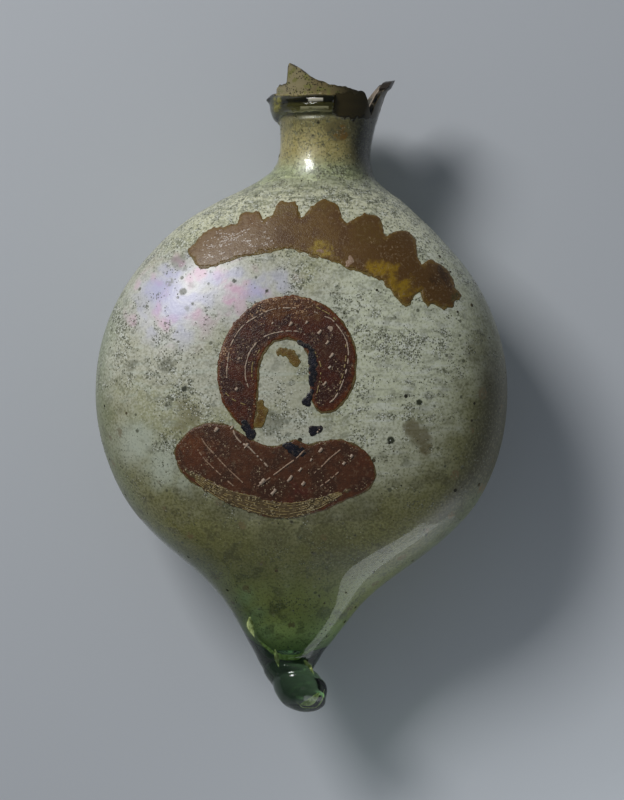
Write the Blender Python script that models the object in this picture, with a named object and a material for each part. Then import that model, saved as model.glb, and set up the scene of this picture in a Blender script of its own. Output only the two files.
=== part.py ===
"""Ancient blown-glass flask, lying on its back with its painted face up.

It is one piece of hot-worked glass with a single closed wall: a flattened round body, a
short neck set a little to the right, a flaring mouth broken to a jagged edge, a trail of
glass wound round below it, and a solid tail of clear glass drawn out at the bottom and
curled into a knob. The body is hollow and open at the broken mouth.

Frame: the origin is the middle of the small flat spot that the flask rests on, under the
middle of the body. +Y runs to the mouth, +X to the right of someone looking down on the
painted face, and +Z up. Lengths are in metres.
"""

import math

import bmesh
import bpy
import numpy as np

MM = 0.001

# ---- Driving dimensions -------------------------------------------------------------
BODY_RADIUS = 64.0 * MM  # the round outline of the body, seen from above
DEPTH_RATIO = 0.5  # the body is half as deep as it is wide
REST_RADIUS = 12.0 * MM  # the flat spot that the back of the body rests on
NECK_OFFSET = 7.4 * MM  # how far the neck's axis lies to the right of the body's
MOUTH_OFFSET = 9.8 * MM  # the same at the top of the mouth, which leans further

TAIL_TIP = -99.6 * MM
CAVITY_BOTTOM = -79.8 * MM
CAVITY_DOME = 6.6 * MM  # length of the rounded end of the cavity
MOUTH_BASE = 84.0 * MM  # above this height the wall ends at the broken edge

# The circle of the body gives the outline between these two angles from its level line.
ARC_LOW = math.radians(-31.0)
ARC_HIGH = math.radians(44.0)
ARC_STEPS = 16

# Half-width of the outline at heights along the flask, outside the body's arc (mm).
KNOB_AND_TAIL = (
    (-99.6, 0.4), (-98.5, 2.8), (-97.3, 4.6), (-96.3, 5.6), (-94.5, 7.0), (-92.3, 8.0),
    (-91.3, 8.2), (-90.2, 7.8), (-88.2, 8.0), (-86.1, 7.5), (-84.8, 8.2), (-83.0, 9.3),
    (-79.8, 11.0), (-76.7, 13.4), (-70.5, 17.4), (-64.3, 21.9), (-58.1, 28.4),
    (-51.9, 36.3), (-45.7, 43.9), (-39.5, 50.0),
)
SHOULDER_AND_NECK = (
    (49.2, 41.4), (53.8, 36.2), (60.0, 27.6), (63.1, 22.2), (66.2, 18.0), (69.3, 15.5),
    (72.4, 14.4), (75.5, 14.15), (81.7, 14.75), (84.8, 15.4), (91.0, 16.75), (95.4, 18.3),
    (103.0, 21.6),
)
# Sideways place of the middle of the outline, and its rise towards the viewer (mm).
CENTRE_LINE = (
    (-99.6, 1.6), (-96.3, 1.5), (-94.5, 0.5), (-91.3, -0.4), (-88.2, -2.5), (-86.1, -4.2),
    (-80.0, -4.0), (-76.7, -3.5), (-64.3, -2.2), (-51.9, -0.3), (-33.0, 0.3), (0.0, 0.0),
    (44.0, 0.3), (53.8, 1.1), (60.0, 3.0), (66.2, 5.1), (69.3, 6.5), (75.5, NECK_OFFSET / MM),
    (81.7, 8.0), (91.0, 8.85), (103.0, MOUTH_OFFSET / MM),
)
TAIL_RISE = (
    (-99.6, 7.4), (-97.3, 7.1), (-96.3, 6.6), (-94.5, 5.4), (-91.3, 3.2), (-86.1, 0.9),
    (-80.0, 0.0), (103.0, 0.0),
)
# The tail curls up to a round, flattened end: how far each ring leans back (degrees), and
# how far its middle is drawn back up the tail (mm).
TAIL_CURL = ((-99.6, 38.0), (-91.3, 36.0), (-86.1, 20.0), (-80.0, 0.0), (103.0, 0.0))
TAIL_LIFT = (
    (-99.6, 3.4), (-98.5, 2.4), (-97.3, 1.4), (-96.3, 0.6), (-94.5, 0.0), (103.0, 0.0),
)
# Depth as a share of width: a lens across the body, round at the neck and the tail.
ROUNDNESS = (
    (-99.6, 1.0), (-94.0, 0.95), (-86.1, 1.0), (-83.0, 0.98), (-76.7, 0.88), (-70.5, 0.76),
    (-62.0, 0.65), (-50.0, 0.587), (-40.0, 0.553), (-30.0, 0.53), (-15.0, 0.508),
    (0.0, DEPTH_RATIO), (15.0, 0.508), (30.0, 0.53), (40.0, 0.553), (48.0, 0.577),
    (53.8, 0.61), (60.0, 0.70), (66.2, 0.87), (69.3, 0.96), (74.0, 1.0), (103.0, 1.0),
)
# Fullness of the cross-section: 2 is an ellipse, more gives the body its flattened faces.
FLATNESS = 2.5
FULLNESS = (
    (-99.6, 2.0), (-78.0, 2.0), (-60.0, 2.25), (-42.0, FLATNESS), (42.0, FLATNESS),
    (54.0, 2.3), (64.0, 2.0), (103.0, 2.0),
)
# Thickness of the glass wall, square to its surface (mm): thick at the base and neck.
WALL = (
    (-80.0, 5.6), (-71.0, 4.7), (-64.0, 3.4), (-56.0, 2.4), (-45.0, 1.7), (-20.0, 1.45),
    (35.0, 1.4), (56.0, 1.6), (68.0, 2.1), (84.0, 2.2), (103.0, 1.7),
)
# Height of the broken edge at angles about the neck, 0 at the front, 90 at the right
# (degrees, mm): a tall fragment at the front left, a notch and a leaning sliver at the right.
BROKEN_EDGE = (
    (-180.0, 90.5), (-150.0, 92.3), (-120.0, 91.2), (-90.0, 92.3), (-76.0, 92.8),
    (-70.0, 94.2), (-57.0, 95.2), (-50.0, 95.2), (-40.0, 101.0), (-32.0, 99.8),
    (-26.0, 98.4), (-15.6, 96.2), (-4.2, 94.9), (7.3, 94.0), (14.3, 93.9), (28.5, 92.8),
    (35.7, 92.7), (39.4, 91.8), (46.4, 89.5), (56.4, 86.0), (58.0, 85.9), (60.4, 88.5),
    (65.0, 91.5), (70.4, 94.1), (75.0, 96.3), (90.0, 97.0), (113.0, 96.6), (125.0, 93.4),
    (135.0, 90.1), (155.0, 91.0), (180.0, 90.5),
)
LARGEST_COLUMN_STEP = 8.6  # degrees between neighbouring points of a ring

# The trail of glass wound round below the mouth.
TRAIL_HEIGHT = 89.0 * MM
TRAIL_HALF_WIDTH = 2.5 * MM
TRAIL_RELIEF = 2.4 * MM
TRAIL_START = -172.0  # degrees; it runs from here, across the left, to its broken end
TRAIL_END = 5.5
TRAIL_TAPER = 6.0
BLOB_ANGLE = -95.0  # the thick lump where the trail was laid on
BLOB_SPREAD = 26.0
BLOB_GROWTH = 0.95  # how much wider the lump is than the trail
BLOB_DROP = 0.5 * MM

GLASS_COLOUR = (0.50, 0.58, 0.42, 1.0)
GLASS_ROUGHNESS = 0.18


def fair_curve(stations, unit=MM):
    """Return a function through (position, value) stations that never overshoots them.

    It is a monotone cubic. Positions are in mm or degrees and become metres or stay
    degrees through unit, which scales the position and leaves the value alone.
    """
    places, values = np.array(sorted(stations), dtype=float).T
    places = places * unit
    steps = np.diff(places)
    slopes = np.diff(values) / steps
    tangents = np.concatenate(([slopes[0]], np.zeros(len(slopes) - 1), [slopes[-1]]))
    for i in range(1, len(slopes)):
        before, after = slopes[i - 1], slopes[i]
        if before * after > 0.0:
            weight_before = 2.0 * steps[i] + steps[i - 1]
            weight_after = steps[i] + 2.0 * steps[i - 1]
            mean = weight_before / before + weight_after / after
            tangents[i] = (weight_before + weight_after) / mean

    def value_at(place):
        i = int(np.clip(np.searchsorted(places, place) - 1, 0, len(steps) - 1))
        t = float(np.clip((place - places[i]) / steps[i], 0.0, 1.0))
        start = (1.0 + 2.0 * t) * (1.0 - t) ** 2 * values[i]
        end = t * t * (3.0 - 2.0 * t) * values[i + 1]
        lean_start = t * (1.0 - t) ** 2 * steps[i] * tangents[i]
        lean_end = t * t * (t - 1.0) * steps[i] * tangents[i + 1]
        return start + end + lean_start + lean_end

    return value_at


def body_arc():
    """The circular stretch of the outline as (height, half-width) stations in mm."""
    radius = BODY_RADIUS / MM
    angles = np.linspace(ARC_LOW, ARC_HIGH, ARC_STEPS)
    return tuple((radius * math.sin(a), radius * math.cos(a)) for a in angles)


half_width_mm = fair_curve(KNOB_AND_TAIL + body_arc() + SHOULDER_AND_NECK)
centre_mm = fair_curve(CENTRE_LINE)
rise_mm = fair_curve(TAIL_RISE)
curl_degrees = fair_curve(TAIL_CURL)
lift_mm = fair_curve(TAIL_LIFT)
roundness = fair_curve(ROUNDNESS)
fullness = fair_curve(FULLNESS)
wall_mm = fair_curve(WALL)
edge_mm = fair_curve(BROKEN_EDGE, unit=1.0)

BODY_DEPTH = BODY_RADIUS * DEPTH_RATIO
# The axis lies as high as the body is deep at the flat spot's edge.
AXIS_HEIGHT = BODY_DEPTH * (1.0 - (REST_RADIUS / BODY_RADIUS) ** FLATNESS) ** (1.0 / FLATNESS)


def half_width(height):
    """Half-width of the plain outer form at a height, without the trail."""
    return half_width_mm(height) * MM


def half_depth(height):
    """Half-depth of the plain outer form at a height."""
    return half_width(height) * roundness(height)


def shrunk(profile, height):
    """A profile's value at a height, moved in by the wall square to its slope."""
    step = 0.5 * MM
    slope = (profile(height + step) - profile(height - step)) / (2.0 * step)
    return profile(height) - wall_mm(height) * MM * math.hypot(1.0, slope)


def cavity_rounding(height):
    """1 along the cavity, falling to 0 round the dome at its lower end."""
    below = (CAVITY_BOTTOM + CAVITY_DOME - height) / CAVITY_DOME
    return math.sqrt(max(0.0, 1.0 - max(0.0, below) ** 2))


def trail_relief(angle, height):
    """How far the wound trail stands out at an angle (degrees) and height."""
    along = min(angle - TRAIL_START, TRAIL_END - angle) / TRAIL_TAPER
    if along <= 0.0:
        return 0.0
    lump = math.exp(-(((angle - BLOB_ANGLE) / BLOB_SPREAD) ** 2))
    across = (height - TRAIL_HEIGHT + BLOB_DROP * lump) / TRAIL_HALF_WIDTH
    across /= 1.0 + BLOB_GROWTH * lump
    if abs(across) >= 1.0:
        return 0.0
    return TRAIL_RELIEF * min(1.0, along) * math.sqrt(1.0 - across * across)


def column_angles():
    """Angles of the points of every ring: each corner of the broken edge, and evenly between."""
    corners = [angle for angle, _ in BROKEN_EDGE]
    angles = []
    for low, high in zip(corners, corners[1:]):
        count = math.ceil((high - low) / LARGEST_COLUMN_STEP)
        angles += [low + (high - low) * i / count for i in range(count)]
    return angles


def round_section(angle, height):
    """Sideways and forward reach of the cross-section at an angle, as shares of its half-axes."""
    turn = math.radians(angle)
    side, front = math.sin(turn), math.cos(turn)
    power = fullness(height)
    reach = (abs(side) ** power + abs(front) ** power) ** (1.0 / power)
    return side / reach, front / reach


def outer_point(angle, height):
    """A point of the outer surface."""
    side, front = round_section(angle, height)
    curl = math.radians(curl_degrees(height))
    relief = trail_relief(angle, height)
    across = (half_width(height) + relief) * side
    deep = (half_depth(height) + relief) * front
    x = centre_mm(height) * MM + across
    y = height + lift_mm(height) * MM + deep * math.sin(curl)
    return (x, y, AXIS_HEIGHT + rise_mm(height) * MM + deep * math.cos(curl))


def inner_point(angle, height):
    """A point of the cavity's surface."""
    side, front = round_section(angle, height)
    rounding = cavity_rounding(height)
    across = shrunk(half_width, height) * rounding * side
    deep = shrunk(half_depth, height) * rounding * front
    return (centre_mm(height) * MM + across, height, AXIS_HEIGHT + deep)


def outer_heights():
    """Heights of the outer rings from above the tip to the base of the mouth."""
    knob = [-99.0, -98.0, -97.1, -96.3, -95.0, -93.4, -91.8, -90.0, -88.2, -86.4, -84.4]
    tail = [-82.0, -78.5, -74.5, -70.0, -65.5, -61.0, -56.5, -52.0]
    body = [BODY_RADIUS / MM * math.sin(a) for a in np.radians(np.linspace(-49.0, 57.0, 17))]
    neck = [56.6, 59.6, 62.4, 65.0, 67.5, 70.3, 74.0, 79.0, 84.0]
    return [mm * MM for mm in knob + tail + body + neck]


def inner_heights():
    """Heights of the cavity's rings from above its bottom to the base of the mouth."""
    turns = np.radians([12.0, 27.0, 45.0, 65.0, 90.0])
    dome = [(CAVITY_BOTTOM + CAVITY_DOME * (1.0 - math.cos(turn))) / MM for turn in turns]
    tail = [-66.0, -61.0, -55.0]
    body = [BODY_RADIUS / MM * math.sin(a) for a in np.radians(np.linspace(-50.0, 56.0, 13))]
    neck = [56.6, 60.0, 63.0, 66.0, 69.5, 75.0, 84.0]
    return [mm * MM for mm in dome + tail + body + neck]


MOUTH_SHARES = (0.28, 0.42, 0.53, 0.64, 0.75, 0.88, 1.0)  # rings between base and broken edge


def edge_height(angle, share):
    """Height of a mouth ring at an angle: a share of the way up to the broken edge."""
    return MOUTH_BASE + (edge_mm(angle) * MM - MOUTH_BASE) * share


def add_ring(bm, angles, point_at, height_at):
    """Add one closed ring of vertices."""
    return [bm.verts.new(point_at(angle, height_at(angle))) for angle in angles]


def add_skin(bm, angles, point_at, heights, pole):
    """Loft a skin from a pole up to the broken edge, and return its last ring."""
    rings = [add_ring(bm, angles, point_at, lambda _, h=height: h) for height in heights]
    for share in MOUTH_SHARES:
        rings.append(add_ring(bm, angles, point_at, lambda angle, s=share: edge_height(angle, s)))
    tip = bm.verts.new(pole)
    count = len(angles)
    for i in range(count):
        after = (i + 1) % count
        bm.faces.new((tip, rings[0][i], rings[0][after]))
        for low, high in zip(rings, rings[1:]):
            bm.faces.new((low[i], high[i], high[after], low[after]))
    return rings[-1]


def ring_edges(bm, ring):
    """The edges between neighbouring vertices of a closed ring."""
    return [bm.edges.get((a, b)) for a, b in zip(ring, ring[1:] + ring[:1])]


def flask_mesh():
    """The closed glass wall: outer skin and cavity joined along the broken edge."""
    bm = bmesh.new()
    angles = column_angles()
    tip = (
        centre_mm(TAIL_TIP) * MM,
        TAIL_TIP + lift_mm(TAIL_TIP) * MM,
        AXIS_HEIGHT + rise_mm(TAIL_TIP) * MM,
    )
    bottom = (centre_mm(CAVITY_BOTTOM) * MM, CAVITY_BOTTOM, AXIS_HEIGHT)
    outer_edge = add_skin(bm, angles, outer_point, outer_heights(), tip)
    inner_edge = add_skin(bm, angles, inner_point, inner_heights(), bottom)
    edges = ring_edges(bm, outer_edge) + ring_edges(bm, inner_edge)
    bmesh.ops.bridge_loops(bm, edges=edges)
    bmesh.ops.triangulate(bm, faces=bm.faces)
    bmesh.ops.recalc_face_normals(bm, faces=bm.faces)
    mesh = bpy.data.meshes.new("flask")
    bm.to_mesh(mesh)
    bm.free()
    mesh.shade_smooth()
    mesh.set_sharp_from_angle(angle=math.radians(40.0))
    return mesh


def glass_material():
    """Pale green blown glass, milky with weathering."""
    material = bpy.data.materials.new("weathered_pale_green_glass")
    material.use_nodes = True
    shader = material.node_tree.nodes["Principled BSDF"]
    shader.inputs["Base Color"].default_value = GLASS_COLOUR
    shader.inputs["Roughness"].default_value = GLASS_ROUGHNESS
    shader.inputs["Metallic"].default_value = 0.0
    return material


def cut_rest_spot(flask):
    """Grind the flat spot that the flask rests on: cut away all that is below z = 0."""
    bm = bmesh.new()
    bmesh.ops.create_cube(bm, size=2.0 * BODY_RADIUS)
    bmesh.ops.translate(bm, verts=bm.verts, vec=(0.0, 0.0, -BODY_RADIUS))
    mesh = bpy.data.meshes.new("rest_cutter")
    bm.to_mesh(mesh)
    bm.free()
    cutter = bpy.data.objects.new("rest_cutter", mesh)
    bpy.context.collection.objects.link(cutter)
    cutter.hide_render = True
    cutter.display_type = "WIRE"
    cut = flask.modifiers.new("rest_spot", "BOOLEAN")
    cut.operation = "DIFFERENCE"
    cut.solver = "EXACT"
    cut.object = cutter


def main():
    """Build the flask."""
    for old in list(bpy.data.objects):
        bpy.data.objects.remove(old, do_unlink=True)
    flask = bpy.data.objects.new("flask", flask_mesh())
    bpy.context.collection.objects.link(flask)
    flask.data.materials.append(glass_material())
    cut_rest_spot(flask)


main()
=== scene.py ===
"""Looks of an ancient blown-glass pilgrim flask, lying on its back on a pale sheet.

The flask is clear pale green glass, weathered milky inside, with a painted bust under a
painted wreath on its upper face. The glass wall, the weathering film behind it, the paint
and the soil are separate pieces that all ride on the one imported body. Everything is in
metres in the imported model's frame: +Y to the broken mouth, +X right, +Z up.
"""

import logging
import math
import operator
from collections.abc import Sequence
from dataclasses import dataclass
from enum import Enum
from functools import cache, reduce

import bmesh
import bpy
import numpy as np
from bpy.types import Material, Mesh, Node, NodeSocket, NodeTree, Object
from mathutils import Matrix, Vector, noise
from mathutils.bvhtree import BVHTree


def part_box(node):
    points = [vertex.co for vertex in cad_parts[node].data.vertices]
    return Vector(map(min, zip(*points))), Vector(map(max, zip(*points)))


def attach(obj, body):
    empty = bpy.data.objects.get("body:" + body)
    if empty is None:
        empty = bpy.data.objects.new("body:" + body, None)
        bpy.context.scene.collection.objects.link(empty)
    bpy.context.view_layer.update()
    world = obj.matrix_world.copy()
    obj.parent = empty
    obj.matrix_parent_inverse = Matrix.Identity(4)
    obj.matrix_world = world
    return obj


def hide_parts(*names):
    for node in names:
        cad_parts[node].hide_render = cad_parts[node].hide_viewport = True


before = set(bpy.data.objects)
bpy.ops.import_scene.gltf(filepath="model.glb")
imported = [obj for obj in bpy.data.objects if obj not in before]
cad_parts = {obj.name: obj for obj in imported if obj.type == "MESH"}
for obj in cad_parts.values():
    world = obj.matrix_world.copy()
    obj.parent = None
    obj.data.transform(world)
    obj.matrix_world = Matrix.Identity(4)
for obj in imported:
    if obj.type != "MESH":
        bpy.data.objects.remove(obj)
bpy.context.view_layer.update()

LOG = logging.getLogger("flask")
MM = 0.001
PER_CM2 = 1.0e4
DROP_FROM = 0.2  # metres, well above the flask
NODE = "flask"
BODY = "root"

FLASK_LOW, FLASK_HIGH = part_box(NODE)
BODY_RADIUS = -FLASK_LOW[0]
DEPTH_RATIO = 0.5
AXIS_HEIGHT = FLASK_HIGH[2] - BODY_RADIUS * DEPTH_RATIO

Array = np.ndarray
Points = Sequence[tuple[float, float]]
Dab = tuple[float, float, float]
Faces = list[tuple[int, ...]]


class Slot(Enum):
    """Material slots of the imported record."""

    GLASS = "weathered_glass"
    FILM = "weathering_film"
    PAINT = "red_brown_paint"
    AMBER = "amber_paint"
    DARK = "dark_paint"
    LINE = "cream_line"
    SOIL = "soil"


# ---- Helpers for shapes ----


def unit(value: Array) -> Array:
    """The value, kept between 0 and 1."""
    return np.clip(value, 0.0, 1.0)


def between(value: Array, low: float, high: float, soft: float) -> Array:
    """1 between two limits and 0 beyond them, sloping over a soft width inside them."""
    return unit(np.minimum(value - low, high - value) / soft)


@dataclass(frozen=True)
class FairCurve:
    """A monotone cubic through stations, which never overshoots them."""

    stations: Points

    def at(self, place: Array | float) -> Array:
        """The curve's value.

        Args:
            place: One or more positions along the stations' first numbers.

        Returns:
            The values there, in the unit of the stations' second numbers.
        """
        places, values = np.array(sorted(self.stations), dtype=float).T
        steps = np.diff(places)
        slopes = np.diff(values) / steps
        tangents = np.zeros_like(values)
        tangents[0], tangents[-1] = slopes[0], slopes[-1]
        before, after = slopes[:-1], slopes[1:]
        same_way = before * after > 0.0
        weight_before = 2.0 * steps[1:] + steps[:-1]
        weight_after = steps[1:] + 2.0 * steps[:-1]
        safe_before = np.where(same_way, before, 1.0)
        safe_after = np.where(same_way, after, 1.0)
        mean = weight_before / safe_before + weight_after / safe_after
        tangents[1:-1] = np.where(same_way, (weight_before + weight_after) / mean, 0.0)
        i = np.clip(np.searchsorted(places, place) - 1, 0, len(steps) - 1)
        t = unit((place - places[i]) / steps[i])
        start = (1.0 + 2.0 * t) * (1.0 - t) ** 2 * values[i]
        end = t * t * (3.0 - 2.0 * t) * values[i + 1]
        lean_start = t * (1.0 - t) ** 2 * steps[i] * tangents[i]
        lean_end = t * t * (t - 1.0) * steps[i] * tangents[i + 1]
        return start + end + lean_start + lean_end


def wander(x: Array, y: Array, size: float, seed: float) -> Array:
    """Smooth random unevenness between about -1 and 1.

    Args:
        x: First coordinates, in metres.
        y: Second coordinates, of the same shape.
        size: Width of one swelling, in metres.
        seed: Picks another pattern.

    Returns:
        The unevenness, of the same shape.
    """
    places = zip(x.ravel() / size, y.ravel() / size)
    return np.array([noise.noise(Vector((a, b, seed))) for a, b in places]).reshape(x.shape)


def add_piece(mesh: Mesh, material: Material) -> Object:
    """Put a finished mesh in the scene as a piece of the flask.

    Args:
        mesh: The mesh, already in its place. The piece takes its name.
        material: Its finish.

    Returns:
        The piece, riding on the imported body.
    """
    piece = bpy.data.objects.new(mesh.name, mesh)
    bpy.context.scene.collection.objects.link(piece)
    mesh.materials.clear()
    mesh.materials.append(material)
    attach(piece, BODY)
    LOG.info("%s: %d faces", mesh.name, len(mesh.polygons))
    return piece


def closed_mesh(name: str, points: Array, faces: Faces) -> Mesh:
    """A smooth mesh whose faces all point outwards.

    Args:
        name: The mesh's name.
        points: Vertices, one row each.
        faces: Corners of each face.

    Returns:
        The mesh.
    """
    mesh = bpy.data.meshes.new(name)
    mesh.from_pydata(points.tolist(), [], faces)
    bm = bmesh.new()
    bm.from_mesh(mesh)
    bmesh.ops.recalc_face_normals(bm, faces=bm.faces)
    bm.to_mesh(mesh)
    bm.free()
    mesh.shade_smooth()
    return mesh


def mark(mesh: Mesh, name: str, values: Array) -> None:
    """Store a number for each vertex, which a finish reads.

    Args:
        mesh: The mesh.
        name: What the finish knows the numbers by.
        values: The numbers. Vertices left over get 0.
    """
    padded = np.zeros(len(mesh.vertices), dtype=np.float32)
    padded[: values.size] = values.ravel()
    mesh.attributes.new(name, "FLOAT", "POINT").data.foreach_set("value", padded)


def ring_faces(rows: int, columns: int, first: int = 0) -> Faces:
    """Faces of a tube of rings that a pole closes at each end.

    Args:
        rows: How many rings there are.
        columns: How many points each ring has.
        first: Number of the first point. The two poles are numbered after the last ring.

    Returns:
        The corners of each face.
    """
    turn = [(i, (i + 1) % columns) for i in range(columns)]
    faces: Faces = []
    for low in range(first, first + (rows - 1) * columns, columns):
        faces += [(low + i, low + j, low + columns + j, low + columns + i) for i, j in turn]
    pole = first + rows * columns
    last = pole - columns
    for i, j in turn:
        faces += [(pole, first + j, first + i), (pole + 1, last + i, last + j)]
    return faces


def smooth_path(
    knots: Sequence[Sequence[float]], count: int, first: float = 0.0, last: float = 1.0
) -> Array:
    """Points of a smooth line through knots.

    Args:
        knots: Coordinates of each knot, and the line's half-width there if it has one.
        count: How many points to take.
        first: Where they start, as a share of the way from the first knot to the last.
        last: Where they end.

    Returns:
        A row for each point, with the knots' columns.
    """
    rows = np.array(knots, dtype=float)
    along = np.arange(len(rows), dtype=float)
    at = np.linspace(first, last, count) * along[-1]
    return np.stack([FairCurve(tuple(zip(along, column))).at(at) for column in rows.T], axis=1)


def ground_of(pieces: Sequence[Object]) -> BVHTree:
    """The surface that pieces make together, to drop points on.

    Args:
        pieces: The pieces.

    Returns:
        Their surface.
    """
    points: list[tuple[float, ...]] = []
    faces: list[list[int]] = []
    for piece in pieces:
        first = len(points)
        points += [tuple(v.co) for v in piece.data.vertices]
        faces += [[first + i for i in face.vertices] for face in piece.data.polygons]
    return BVHTree.FromPolygons(points, faces)


def height_on(ground: BVHTree, x: float, y: float) -> float:
    """Height of the ground under a point.

    Args:
        ground: The surface.
        x: The point's x, in mm.
        y: Its y, in mm.

    Returns:
        The height, in metres.
    """
    above = Vector((x * MM, y * MM, DROP_FROM))
    hit = ground.ray_cast(above, Vector((0.0, 0.0, -1.0)))[0]
    return hit.z if hit is not None else AXIS_HEIGHT


# ---- Helpers for finishes ----

MIX_A, MIX_B, MIX_COLOUR = 6, 7, 2  # sockets of a Mix node that mixes colours
PER_MM = 1.0 / MM
UPPER_FADE = 6.0 * MM  # a pattern of the upper side fades out over this height above the axis


def linear(colour: str) -> tuple[float, float, float, float]:
    """A screen colour in linear light.

    Args:
        colour: The colour, as #RRGGBB.

    Returns:
        Its red, green, blue and alpha, from 0 to 1.
    """
    parts = [int(colour[i : i + 2], 16) / 255.0 for i in (1, 3, 5)]
    red, green, blue = (p / 12.92 if p <= 0.04045 else ((p + 0.055) / 1.055) ** 2.4 for p in parts)
    return (red, green, blue, 1.0)


def add_node(tree: NodeTree, kind: str, inputs: dict | None = None, **settings: object) -> Node:
    """Add one node with its settings and links.

    Args:
        tree: The node tree.
        kind: The node's type name.
        inputs: For each input's name or number, a value, or the mask, the socket or the
            node whose first output feeds it.
        settings: Properties of the node.

    Returns:
        The node.
    """
    node = tree.nodes.new(kind)
    for name, value in settings.items():
        setattr(node, name, value)
    for key, value in (inputs or {}).items():
        if isinstance(value, Mask):
            value = value.socket
        if isinstance(value, Node):
            value = value.outputs[0]
        if isinstance(value, NodeSocket):
            tree.links.new(value, node.inputs[key])
        else:
            node.inputs[key].default_value = value
    return node


class Mask:
    """A number that changes over a surface, such as how much of a colour shows.

    Arithmetic on masks adds nodes to their finish: * is what both cover, | is what either
    covers, and 1.0 - mask is what it leaves bare.
    """

    def __init__(self, finish: "FinishTree", socket: NodeSocket) -> None:
        """Take a socket of the finish's tree as a mask."""
        self.finish = finish
        self.socket = socket

    def __mul__(self, other: "Mask | float") -> "Mask":
        """What both masks cover, or this one made weaker by a number."""
        return self.finish.mask("ShaderNodeMath", {0: self, 1: other}, operation="MULTIPLY")

    def __or__(self, other: "Mask | float") -> "Mask":
        """What either mask covers."""
        return self.finish.mask("ShaderNodeMath", {0: self, 1: other}, operation="MAXIMUM")

    def __add__(self, other: "Mask | float") -> "Mask":
        """The sum of two masks."""
        return self.finish.mask("ShaderNodeMath", {0: self, 1: other}, operation="ADD")

    def __sub__(self, other: "Mask | float") -> "Mask":
        """How far this mask exceeds another."""
        return self.finish.mask("ShaderNodeMath", {0: self, 1: other}, operation="SUBTRACT")

    def __rsub__(self, other: float) -> "Mask":
        """What this mask leaves of a number."""
        return self.finish.mask("ShaderNodeMath", {0: other, 1: self}, operation="SUBTRACT")

    def __abs__(self) -> "Mask":
        """The mask without its sign."""
        return self.finish.mask("ShaderNodeMath", {0: self}, operation="ABSOLUTE")

    def scaled(self, by: float, plus: "Mask | float") -> "Mask":
        """The mask times a number, with a number or a mask added."""
        inputs = {0: self, 1: by, 2: plus}
        return self.finish.mask("ShaderNodeMath", inputs, operation="MULTIPLY_ADD")

    def fade(self, low: float, high: float) -> "Mask":
        """0 where the mask is at low, 1 where it is at high, eased between."""
        inputs = {"Value": self, "From Min": low, "From Max": high}
        return self.finish.mask("ShaderNodeMapRange", inputs, interpolation_type="SMOOTHSTEP")


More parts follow.
